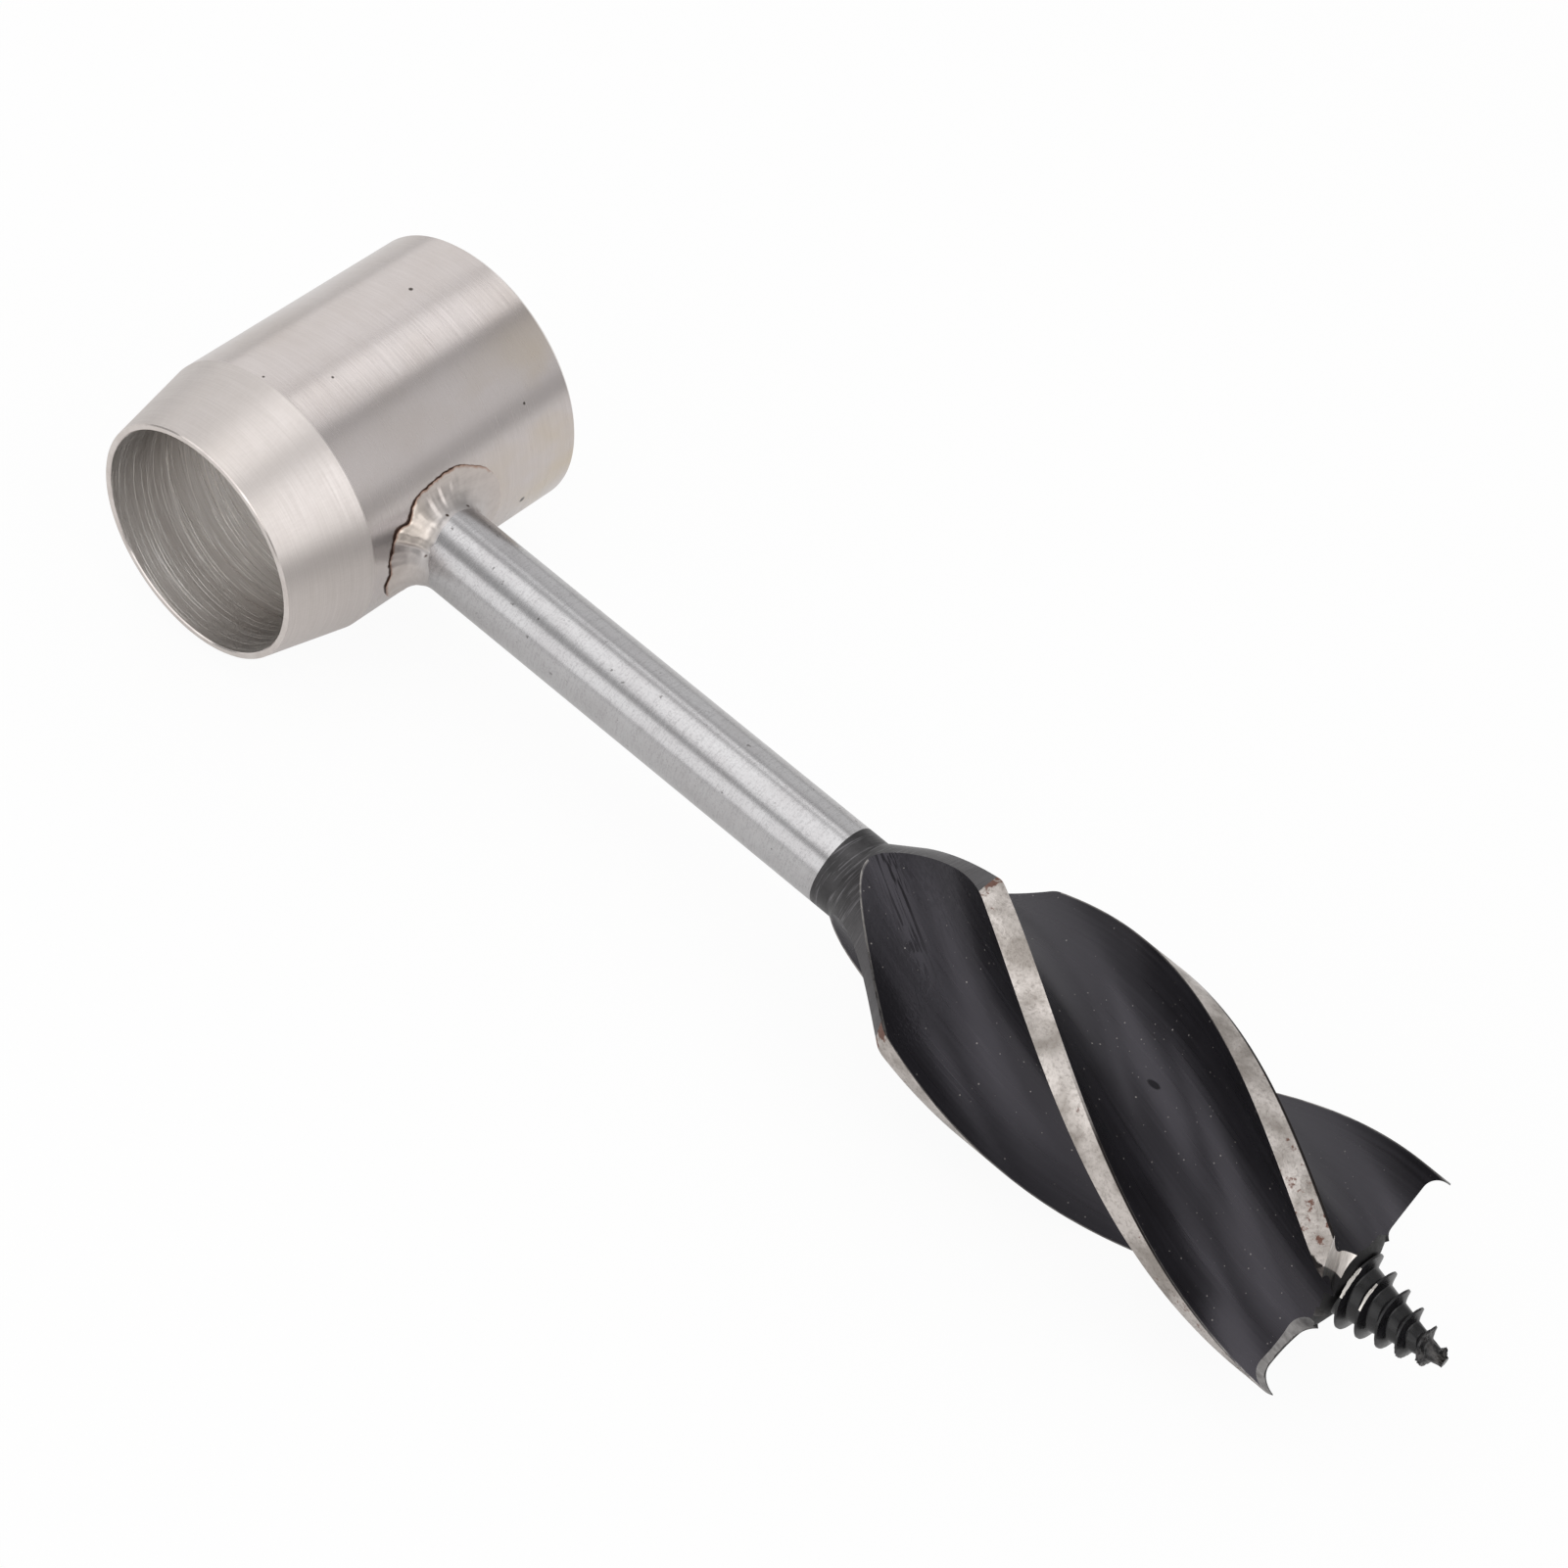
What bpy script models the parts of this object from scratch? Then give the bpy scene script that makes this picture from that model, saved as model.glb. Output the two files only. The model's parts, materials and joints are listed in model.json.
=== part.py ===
"""Hand wood auger with an eye: a steel sleeve that takes a stick as its handle, welded across the
shank of a four-flute bit with two spurs, two lips and a lead screw.

Units are metres, +Z is up. The tool lies on a bench, on its sleeve and on one land of the fluted head,
with the shank along +X and the eye along Y. Distances along the bit are counted from the eye's axis.
"""

import math

import bmesh
import bpy
from mathutils import Matrix, Vector

# Eye sleeve: a turned tube whose mouth is tapered outside, so that it can ream or follow a stick.
SLEEVE_DIAMETER = 0.030
SLEEVE_LENGTH = 0.038
SLEEVE_WALL = 0.0027
TAPER_LENGTH = 0.0096
MOUTH_RIM = 0.0007
REAR_CHAMFER = 0.0004

# Shank: a ground round bar, coped to the sleeve and welded round its foot.
SHANK_DIAMETER = 0.00884
EYE_TO_NECK = 0.0688
WELD_SPREAD = 0.0033
WELD_RISE = 0.0028

# Fluted head: a black bar of the bored size, with a turned neck and shoulder and ground lands.
BIT_DIAMETER = 0.025
HEAD_LENGTH = 0.0632
NECK_LENGTH = 0.0024
SHOULDER_LENGTH = 0.0143
SHOULDER_ROUND = 0.002
WING_COUNT = 4
FLUTE_LEAD = 0.132
LAND_WIDTH = 0.00273
CORE_STEP = 0.0004
SPUR_TURN = math.radians(39)

# Cutting end: spurs hollowed by a round wheel, lips ground flat and clipped at the outer corner.
SCALLOP_RADIUS = 0.0065
SCALLOP_DEPTH = 0.0018
SPUR_RELIEF = math.radians(16)
LIP_SETBACK = 0.0018
LIP_SLOPE = math.radians(7)
LIP_CLIP = 0.0012
NOSE_SETBACK = 0.0008

# Lead screw: a tapered thread that draws the bit into the wood.
SCREW_LENGTH = 0.0108
SCREW_ROOT_DIAMETER = 0.0050
SCREW_TIP_DIAMETER = 0.0010
THREAD_DEPTH = 0.00112
THREAD_PITCH = 0.00195
THREAD_FADE = 5
THREAD_FOOT = 0.40
THREAD_CREST = 0.08

# Pieces that touch keep this gap. Cutters run this far past what they cut. Points this close are one.
FIT_GAP = 0.0003
CUT_PAST = 0.001
MERGE_DISTANCE = 0.00001

# Facets of the round pieces.
SLEEVE_SEGMENTS = 96
SHANK_SEGMENTS = 48
LAND_SEGMENTS = 2
FLUTE_SEGMENTS = 14
TWIST_STEP = math.radians(4)
THREAD_SEGMENTS = 24
ROUND_SEGMENTS = 6
SHARP_ANGLE = math.radians(32)

SLEEVE_RADIUS = SLEEVE_DIAMETER / 2
BORE_RADIUS = SLEEVE_RADIUS - SLEEVE_WALL
SHANK_RADIUS = SHANK_DIAMETER / 2
BIT_RADIUS = BIT_DIAMETER / 2
CORE_RADIUS = SHANK_RADIUS + CORE_STEP
HALF_LAND = LAND_WIDTH / BIT_DIAMETER
WING_PITCH = math.tau / WING_COUNT
TWIST_RATE = math.tau / FLUTE_LEAD
SPUR_END = EYE_TO_NECK + HEAD_LENGTH
NOSE_END = SPUR_END - NOSE_SETBACK
SCREW_START = NOSE_END + FIT_GAP
SCREW_END = SCREW_START + SCREW_LENGTH

STAINLESS = ("brushed_stainless", (0.60, 0.58, 0.55), 0.30)
WELD_METAL = ("ground_weld", (0.58, 0.55, 0.51), 0.38)
BRIGHT_STEEL = ("ground_steel", (0.47, 0.47, 0.48), 0.32)
BLACK_OXIDE = ("black_oxide_steel", (0.024, 0.023, 0.025), 0.45)


def clear_scene():
    for obj in list(bpy.data.objects):
        bpy.data.objects.remove(obj, do_unlink=True)


def new_collection(name):
    collection = bpy.data.collections.new(name)
    bpy.context.scene.collection.children.link(collection)
    return collection


def new_empty(name, collection, parent=None):
    empty = bpy.data.objects.new(name, None)
    empty.parent = parent
    collection.objects.link(empty)
    return empty


def add_object(name, bm, collection, parent):
    """An object from a bmesh, with round faces smooth and edges sharp."""
    mesh = bpy.data.meshes.new(name)
    bm.to_mesh(mesh)
    bm.free()
    shade(mesh)
    obj = bpy.data.objects.new(name, mesh)
    obj.parent = parent
    collection.objects.link(obj)
    return obj


def shade(mesh):
    mesh.shade_smooth()
    mesh.set_sharp_from_angle(angle=SHARP_ANGLE)


def finish(obj, material):
    """Settles the cuts, so that their edges are sharp too, and gives the piece its own metal."""
    bpy.context.view_layer.update()
    settled = obj.evaluated_get(bpy.context.evaluated_depsgraph_get())
    mesh = bpy.data.meshes.new_from_object(settled)
    obj.modifiers.clear()
    obj.data = mesh
    mesh.name = obj.name
    shade(mesh)
    name, colour, roughness = material
    metal = bpy.data.materials.new(name)
    metal.use_nodes = True
    shader = metal.node_tree.nodes["Principled BSDF"]
    shader.inputs["Base Color"].default_value = (*colour, 1)
    shader.inputs["Roughness"].default_value = roughness
    shader.inputs["Metallic"].default_value = 1
    obj.data.materials.append(metal)


def as_cutter(obj):
    obj.hide_render = True
    obj.display_type = "WIRE"
    return obj


def cut(obj, cutter):
    modifier = obj.modifiers.new("cut by " + cutter.name, "BOOLEAN")
    modifier.operation = "DIFFERENCE"
    modifier.object = cutter


def turned(name, profile, segments, collection, parent):
    """Turns a closed profile of (radius, height) points about Z. It runs down its outer side first."""
    bm = bmesh.new()
    corners = [bm.verts.new((radius, 0, height)) for radius, height in profile]
    for first, second in zip(corners, corners[1:] + corners[:1]):
        bm.edges.new((first, second))
    obj = add_object(name, bm, collection, parent)
    screw = obj.modifiers.new("turn", "SCREW")
    screw.steps = segments
    screw.render_steps = segments
    screw.use_merge_vertices = True
    screw.merge_threshold = MERGE_DISTANCE
    return obj


def cylinder(name, radius, start, end, segments, collection, parent):
    """A round bar along Z, from one height to another."""
    bm = bmesh.new()
    place = Matrix.Translation((0, 0, (start + end) / 2))
    bmesh.ops.create_cone(
        bm, cap_ends=True, segments=segments, radius1=radius, radius2=radius, depth=end - start, matrix=place
    )
    return add_object(name, bm, collection, parent)


def polar(radius, angle, height):
    return Vector((radius * math.cos(angle), radius * math.sin(angle), height))


def wing_turn(number, along):
    """Angle of a wing's middle about the bit's Z axis. Wings 0 and 2 carry the spurs, 1 and 3 the lips."""
    return SPUR_TURN + math.pi / 2 + number * WING_PITCH + TWIST_RATE * (along - SPUR_END)


def eye_sleeve(parts, sleeve_axis):
    """Tube with its mouth towards -Z, tapered outside down to a thin rim."""
    rear = SLEEVE_LENGTH / 2
    mouth = -rear
    profile = [
        (SLEEVE_RADIUS - REAR_CHAMFER, rear),
        (SLEEVE_RADIUS, rear - REAR_CHAMFER),
        (SLEEVE_RADIUS, mouth + TAPER_LENGTH),
        (BORE_RADIUS + MOUTH_RIM, mouth),
        (BORE_RADIUS, mouth),
        (BORE_RADIUS, rear - REAR_CHAMFER),
        (BORE_RADIUS + REAR_CHAMFER, rear),
    ]
    obj = turned("eye_sleeve", profile, SLEEVE_SEGMENTS, parts, sleeve_axis)
    finish(obj, STAINLESS)


def shank(parts, cutters, bit_axis, sleeve_axis):
    """Round bar from the sleeve's wall to the head's neck, its foot coped to the sleeve."""
    obj = cylinder("shank", SHANK_RADIUS, BORE_RADIUS, EYE_TO_NECK - FIT_GAP, SHANK_SEGMENTS, parts, bit_axis)
    reach = SHANK_RADIUS + CUT_PAST
    cope = cylinder(
        "cope", SLEEVE_RADIUS + FIT_GAP, -reach, reach, SLEEVE_SEGMENTS, cutters, sleeve_axis
    )
    cut(obj, as_cutter(cope))
    finish(obj, BRIGHT_STEEL)


def sleeve_height(radius, angle, clearance):
    """Height of the sleeve's outside over the eye's axis, at a place round the shank."""
    across = radius * math.cos(angle)
    return math.sqrt((SLEEVE_RADIUS + clearance) ** 2 - across**2)


def weld_section(angle):
    """The bead's outline at one angle round the shank: over the fillet, then back down the shank."""
    foot = SHANK_RADIUS + FIT_GAP
    toe = SHANK_RADIUS + WELD_SPREAD
    start = Vector((toe, sleeve_height(toe, angle, FIT_GAP)))
    corner = Vector((foot, sleeve_height(foot, angle, FIT_GAP)))
    end = Vector((foot, SLEEVE_RADIUS + WELD_RISE))
    hollow = []
    for step in range(ROUND_SEGMENTS + 1):
        t = step / ROUND_SEGMENTS
        hollow.append((1 - t) ** 2 * start + 2 * t * (1 - t) * corner + t**2 * end)
    lip = Vector((0, FIT_GAP))
    return [start, *(point + lip for point in hollow), corner]


def weld_bead(parts, bit_axis):
    """Concave fillet lofted round the shank, its foot saddled on the sleeve."""
    bm = bmesh.new()
    rings = []
    for number in range(SHANK_SEGMENTS):
        angle = number * math.tau / SHANK_SEGMENTS
        rings.append([bm.verts.new(polar(radius, angle, height)) for radius, height in weld_section(angle)])
    for ring, following in zip(rings, rings[1:] + rings[:1]):
        for here in range(len(ring)):
            bm.faces.new((ring[here - 1], following[here - 1], following[here], ring[here]))
    bmesh.ops.recalc_face_normals(bm, faces=bm.faces)
    finish(add_object("weld_bead", bm, parts, bit_axis), WELD_METAL)


def head_section():
    """Outline across the head, the first wing on +X: for each wing its land, then the hollow of a flute."""
    half_flute = WING_PITCH / 2 - HALF_LAND
    half_chord = BIT_RADIUS * math.sin(half_flute)
    depth = BIT_RADIUS * math.cos(half_flute) - CORE_RADIUS
    flute_radius = (half_chord**2 + depth**2) / (2 * depth)
    flute_centre = CORE_RADIUS + flute_radius
    sweep = math.atan2(half_chord, flute_radius - depth)
    outline = []
    for number in range(WING_COUNT):
        wing = number * WING_PITCH
        for step in range(LAND_SEGMENTS + 1):
            outline.append(polar(BIT_RADIUS, wing + HALF_LAND * (2 * step / LAND_SEGMENTS - 1), 0))
        middle = wing + WING_PITCH / 2
        for step in range(1, FLUTE_SEGMENTS):
            turn = sweep * (2 * step / FLUTE_SEGMENTS - 1)
            outline.append(polar(flute_centre, middle, 0) + polar(flute_radius, middle + math.pi - turn, 0))
    return outline


def swept_wings(name, parts, bit_axis):
    """The section carried along the bit in a right-hand helix, from the neck to past the spurs."""
    bm = bmesh.new()
    corners = [bm.verts.new(point) for point in head_section()]
    edges = [bm.edges.new(pair) for pair in zip(corners, corners[1:] + corners[:1])]
    length = HEAD_LENGTH + CUT_PAST
    steps = math.ceil(TWIST_RATE * length / TWIST_STEP)
    rise = Vector((0, 0, length / steps))
    bmesh.ops.spin(
        bm, geom=corners + edges, axis=(0, 0, 1), dvec=rise, angle=TWIST_RATE * length, steps=steps
    )
    bmesh.ops.holes_fill(bm, edges=[edge for edge in bm.edges if edge.is_boundary])
    bmesh.ops.recalc_face_normals(bm, faces=bm.faces)
    bmesh.ops.triangulate(bm, faces=bm.faces)
    place = Matrix.Translation((0, 0, EYE_TO_NECK)) @ Matrix.Rotation(wing_turn(0, EYE_TO_NECK), 4, "Z")
    bm.transform(place)
    return add_object(name, bm, parts, bit_axis)


def shoulder_profile():
    """Neck, cone and rounding up to the full diameter, as (radius, height) points."""
    start = EYE_TO_NECK + NECK_LENGTH
    centre = Vector((BIT_RADIUS - SHOULDER_ROUND, start + SHOULDER_LENGTH))
    to_start = Vector((SHANK_RADIUS, start)) - centre
    cone_meets = math.atan2(to_start.y, to_start.x) + math.acos(SHOULDER_ROUND / to_start.length)
    profile = [(SHANK_RADIUS, EYE_TO_NECK - CUT_PAST), (SHANK_RADIUS, start)]
    for step in range(ROUND_SEGMENTS + 1):
        turn = cone_meets * (1 - step / ROUND_SEGMENTS)
        profile.append(tuple(centre + SHOULDER_ROUND * Vector((math.cos(turn), math.sin(turn)))))
    return profile


def shoulder_cutter(cutters, bit_axis):
    """Ring of waste round the neck and shoulder."""
    inner = shoulder_profile()
    low = inner[0][1]
    high = inner[-1][1] + CUT_PAST
    outside = BIT_RADIUS + CUT_PAST
    profile = [(outside, high), (outside, low), *inner, (BIT_RADIUS + CUT_PAST / 2, high)]
    return as_cutter(turned("shoulder_waste", profile, SLEEVE_SEGMENTS, cutters, bit_axis))


def wing_frame(number, along):
    """Axes at a wing's rim: X points outwards, Y the way the wing turns and Z to the tip."""
    return Matrix.Translation((0, 0, along)) @ Matrix.Rotation(wing_turn(number, along), 4, "Z")


def scallop_cutter(number, cutters, bit_axis):
    """Round wheel that hollows a spur wing's end, tilted so that the leading side stands proud."""
    rim = math.sqrt(SCALLOP_RADIUS**2 - (SCALLOP_RADIUS - SCALLOP_DEPTH) ** 2)
    place = (
        wing_frame(number, SPUR_END)
        @ Matrix.Translation((BIT_RADIUS - rim, 0, SCALLOP_RADIUS - SCALLOP_DEPTH))
        @ Matrix.Rotation(math.pi / 2 + SPUR_RELIEF, 4, "X")
    )
    reach = BIT_RADIUS / 2
    obj = cylinder(f"spur_wheel_{number}", SCALLOP_RADIUS, -reach, reach, SLEEVE_SEGMENTS, cutters, bit_axis)
    obj.matrix_local = place
    return as_cutter(obj)


def block(name, size, place, cutters, bit_axis):
    """Block of waste that stands on the XY plane of its place."""
    bm = bmesh.new()
    bmesh.ops.create_cube(bm, size=1, matrix=Matrix.Translation((0, 0, 0.5)))
    bm.transform(Matrix.Diagonal((*size, 1)))
    obj = add_object(name, bm, cutters, bit_axis)
    obj.matrix_local = place
    return as_cutter(obj)


def lip_cutter(number, cutters, bit_axis):
    """Flat wheel that faces a lip, rising from the rim to the nose."""
    lip_end = SPUR_END - LIP_SETBACK
    place = (
        wing_frame(number, lip_end)
        @ Matrix.Translation((BIT_RADIUS, 0, 0))
        @ Matrix.Rotation(LIP_SLOPE, 4, "Y")
    )
    return block(f"lip_wheel_{number}", (2 * BIT_RADIUS, BIT_RADIUS, BIT_RADIUS), place, cutters, bit_axis)


def clip_cutter(number, cutters, bit_axis):
    """Flat that clips the lip's outer leading corner, alike to end, rim and flank."""
    lip_end = SPUR_END - LIP_SETBACK
    slant = Vector((1, 1, 1)).normalized()
    corner = polar(BIT_RADIUS, HALF_LAND, 0) - LIP_CLIP * slant
    place = (
        wing_frame(number, lip_end)
        @ Matrix.Translation(corner)
        @ slant.to_track_quat("Z", "Y").to_matrix().to_4x4()
    )
    side = 2 * LAND_WIDTH + 4 * LIP_CLIP
    return block(f"corner_clip_{number}", (side, side, side), place, cutters, bit_axis)


def fluted_head(parts, cutters, bit_axis):
    """Four wings, turned down to the neck at one end and ground to spurs and lips at the other."""
    obj = swept_wings("fluted_head", parts, bit_axis)
    cut(obj, shoulder_cutter(cutters, bit_axis))
    for number in range(0, WING_COUNT, 2):
        cut(obj, scallop_cutter(number, cutters, bit_axis))
    for number in range(1, WING_COUNT, 2):
        cut(obj, lip_cutter(number, cutters, bit_axis))
        cut(obj, clip_cutter(number, cutters, bit_axis))
    across = CORE_RADIUS + CUT_PAST
    nose = cylinder("nose_waste", across, NOSE_END, SPUR_END + 2 * CUT_PAST, SHANK_SEGMENTS, cutters, bit_axis)
    cut(obj, as_cutter(nose))
    finish(obj, BLACK_OXIDE)


def thread_radius(share, height):
    """Radius at a height over the screw's base, from root (share 0) to crest (share 1)."""
    along = min(max(height / SCREW_LENGTH, 0), 1)
    root = SCREW_ROOT_DIAMETER / 2 + (SCREW_TIP_DIAMETER - SCREW_ROOT_DIAMETER) / 2 * along
    return root + share * THREAD_DEPTH * (1 - along**THREAD_FADE)


def lead_screw(parts, bit_axis):
    """Right-hand thread on a cone: one pitch of profile, carried round and drawn in towards the tip."""
    bm = bmesh.new()
    flank = (THREAD_FOOT - THREAD_CREST) / 2
    one_pitch = ((0, 0), (0, 1 - THREAD_FOOT), (1, 1 - flank - THREAD_CREST), (1, 1 - flank), (0, 1))
    profile = [bm.verts.new((1 + share, 0, place * THREAD_PITCH)) for share, place in one_pitch]
    edges = [bm.edges.new(pair) for pair in zip(profile, profile[1:])]
    turns = math.ceil(SCREW_LENGTH / THREAD_PITCH) + 1
    steps = turns * THREAD_SEGMENTS
    rise = Vector((0, 0, THREAD_PITCH / THREAD_SEGMENTS))
    bmesh.ops.spin(bm, geom=profile + edges, axis=(0, 0, 1), dvec=rise, angle=turns * math.tau, steps=steps)
    bmesh.ops.remove_doubles(bm, verts=bm.verts, dist=MERGE_DISTANCE)
    bm.transform(Matrix.Translation((0, 0, -THREAD_PITCH)))
    for height, keep in ((0, 1), (SCREW_LENGTH, -1)):
        everything = bm.verts[:] + bm.edges[:] + bm.faces[:]
        bmesh.ops.bisect_plane(
            bm, geom=everything, plane_co=(0, 0, height), plane_no=(0, 0, keep), clear_inner=True
        )
    for vert in bm.verts:
        across = vert.co.xy.length
        radius = thread_radius(across - 1, vert.co.z)
        vert.co.xy *= radius / across
    bmesh.ops.holes_fill(bm, edges=[edge for edge in bm.edges if edge.is_boundary])
    bmesh.ops.recalc_face_normals(bm, faces=bm.faces)
    bm.transform(Matrix.Translation((0, 0, SCREW_START)))
    finish(add_object("lead_screw", bm, parts, bit_axis), BLACK_OXIDE)


def resting_tilt():
    """How far the tip drops until a land meets the bench that the sleeve lies on."""
    past_bottom = (SPUR_TURN - HALF_LAND - 1.5 * math.pi) % WING_PITCH
    contact = SPUR_END - past_bottom / TWIST_RATE
    return math.asin(SLEEVE_RADIUS / math.hypot(contact, BIT_RADIUS)) - math.atan2(BIT_RADIUS, contact)


def build():
    clear_scene()
    parts = new_collection("hand_wood_auger")
    cutters = new_collection("cutters")
    tilt = resting_tilt()
    reach = SCREW_END * math.cos(tilt) + SCREW_TIP_DIAMETER / 2 * math.sin(tilt)
    rest = new_empty("rest_on_bench", parts)
    rest.rotation_euler = (0, tilt, 0)
    rest.location = ((SLEEVE_RADIUS - reach) / 2, 0, SLEEVE_RADIUS)
    sleeve_axis = new_empty("sleeve_axis", parts, rest)
    sleeve_axis.rotation_euler = (-math.pi / 2, 0, 0)
    bit_axis = new_empty("bit_axis", parts, rest)
    bit_axis.rotation_euler = (0, math.pi / 2, 0)
    eye_sleeve(parts, sleeve_axis)
    shank(parts, cutters, bit_axis, sleeve_axis)
    weld_bead(parts, bit_axis)
    fluted_head(parts, cutters, bit_axis)
    lead_screw(parts, bit_axis)


build()
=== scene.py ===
"""Looks of a hand wood auger with an eye: the finish of every surface, the light and the camera.

Pieces are made in tool space: X along the bit from the eye's axis to the tip, Y along the eye with its
tapered mouth at -Y, Z up. TOOL lays them on the bench as the frame lies there. Lengths are in metres.
"""

import json
import math

import bmesh
import bpy
from mathutils import Matrix, Vector, noise

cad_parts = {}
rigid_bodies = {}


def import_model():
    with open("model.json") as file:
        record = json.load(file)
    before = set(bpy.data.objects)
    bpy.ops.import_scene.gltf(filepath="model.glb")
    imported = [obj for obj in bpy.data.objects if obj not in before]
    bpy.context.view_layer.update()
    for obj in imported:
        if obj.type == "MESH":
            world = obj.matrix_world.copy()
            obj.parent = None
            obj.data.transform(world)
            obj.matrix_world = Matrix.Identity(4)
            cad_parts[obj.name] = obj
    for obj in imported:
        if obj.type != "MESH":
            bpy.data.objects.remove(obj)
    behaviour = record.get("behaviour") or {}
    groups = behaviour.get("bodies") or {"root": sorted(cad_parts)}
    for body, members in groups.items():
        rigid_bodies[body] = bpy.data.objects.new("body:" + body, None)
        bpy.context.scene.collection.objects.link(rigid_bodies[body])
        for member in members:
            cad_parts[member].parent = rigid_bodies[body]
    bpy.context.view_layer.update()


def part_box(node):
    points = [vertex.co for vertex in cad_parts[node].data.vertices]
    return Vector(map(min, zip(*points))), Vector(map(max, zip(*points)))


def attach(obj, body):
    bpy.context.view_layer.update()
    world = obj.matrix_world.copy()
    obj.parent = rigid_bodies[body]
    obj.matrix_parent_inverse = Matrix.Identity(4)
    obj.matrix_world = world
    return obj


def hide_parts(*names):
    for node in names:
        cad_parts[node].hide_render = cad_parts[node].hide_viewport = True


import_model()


# Eye sleeve
# A piece of stainless tube, turned to length, with its mouth tapered outside to a thin polished rim.
# The outside is brushed round the tube, the taper is brushed both ways, and the bore is left as turned.
SLEEVE_RADIUS = 0.015
SLEEVE_HALF = 0.019
BORE_RADIUS = 0.0123
TAPER_LENGTH = 0.0096
MOUTH_RIM = 0.0007
RIM_ROUND = 0.00012
REAR_CHAMFER = 0.0004
SLEEVE_SEGMENTS = 192
SLEEVE_SHARP = math.radians(8)
TAPER_BLEND = 0.0002
STRAW_BEHIND = (0.002, 0.016)
STRAW_RIGHT = (0.006, 0.013)
PIT_FRAY = 5 / 6
PIT_FULL = 4 / 3
PIT_GONE = 20 / 9
SCUFFED_TO = -0.012
SCRATCH_LEAN = math.radians(6)

# The tool lies on the sleeve and on one land, so the bit dips a little towards its tip.
DIP = math.radians(1.195)
sleeve_low, sleeve_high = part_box("eye_sleeve")
EYE = (sleeve_low + sleeve_high) / 2
TOOL = Matrix.Translation(EYE) @ Matrix.Rotation(DIP, 4, "Y")


def linear(code):
    """An sRGB hex colour as linear RGBA."""
    levels = [int(code[place : place + 2], 16) / 255 for place in (1, 3, 5)]
    return (*(c / 12.92 if c <= 0.04045 else ((c + 0.055) / 1.055) ** 2.4 for c in levels), 1)


def add(tree, kind, *feeds, **settings):
    """Adds a node with its settings. Feeds go to its sockets in order: values, nodes or their outputs."""
    node = tree.nodes.new(kind if "Node" in kind else "ShaderNode" + kind)
    for name, value in settings.items():
        setattr(node, name, value)
    for socket, feed in zip([socket for socket in node.inputs if socket.enabled], feeds):
        if isinstance(feed, bpy.types.Node):
            feed = next(output for output in feed.outputs if output.enabled)
        if isinstance(feed, bpy.types.NodeSocket):
            tree.links.new(feed, socket)
        elif feed is not None:
            socket.default_value = feed
    return node


def new_finish(name, **values):
    """A material for one finish. Values are those that are the same all over it."""
    material = bpy.data.materials.new(name)
    material.use_nodes = True
    for socket, value in values.items():
        material.node_tree.nodes["Principled BSDF"].inputs[socket].default_value = value
    return material, material.node_tree


def lay_on(tree, colour, roughness, relief=None, metallic=None):
    """Feeds the shader what changes over the surface. Relief is a (height, strength, depth) of bump."""
    shader = tree.nodes["Principled BSDF"]
    tree.links.new(colour.outputs["Result"], shader.inputs["Base Color"])
    tree.links.new(roughness.outputs[0], shader.inputs["Roughness"])
    if relief:
        height, strength, depth = relief
        tree.links.new(add(tree, "Bump", strength, depth, None, height).outputs[0], shader.inputs["Normal"])
    if metallic:
        tree.links.new(metallic.outputs[0], shader.inputs["Metallic"])


def tool_space(tree):
    """The point in tool space."""
    place = add(tree, "TexCoord").outputs["Object"]
    return add(tree, "Mapping", place, EYE, (0, DIP, 0), vector_type="TEXTURE")


def marks(tree, point, size, detail=2.0, roughness=0.5):
    """Uneven marks, from 0 to 1, of a size in millimetres along X, Y and Z."""
    scale = tuple(1000 / length for length in size)
    return add(tree, "TexNoise", add(tree, "Mapping", point, None, None, scale), 1.0, detail, roughness)


def piece(name, bm, materials, sharp):
    """A finished piece from a bmesh in tool space, with its place in its mesh, riding on the tool."""
    bmesh.ops.recalc_face_normals(bm, faces=bm.faces)
    bm.transform(TOOL)
    mesh = bpy.data.meshes.new(name)
    bm.to_mesh(mesh)
    bm.free()
    mesh.shade_smooth()
    mesh.set_sharp_from_angle(angle=sharp)
    for material in materials:
        mesh.materials.append(material)
    obj = bpy.data.objects.new(name, mesh)
    bpy.context.scene.collection.objects.link(obj)
    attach(obj, "root")
    return obj


MERGE = 0.000001


def turned(profile, axis, segments):
    """A bmesh from (radius, along) points turned about the axis: a loop, or a line from axis to axis."""
    bm = bmesh.new()
    outwards = Vector((axis.y, axis.x, 0))
    corners = [bm.verts.new(outwards * radius + axis * along) for radius, along in profile]
    pairs = list(zip(corners, corners[1:]))
    if profile[0][0] > 0:
        pairs.append((corners[-1], corners[0]))
    edges = [bm.edges.new(pair) for pair in pairs]
    bmesh.ops.spin(
        bm, geom=corners + edges, axis=axis, cent=(0, 0, 0), angle=math.tau, steps=segments, use_merge=True
    )
    bmesh.ops.remove_doubles(bm, verts=bm.verts, dist=MERGE)
    return bm


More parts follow.
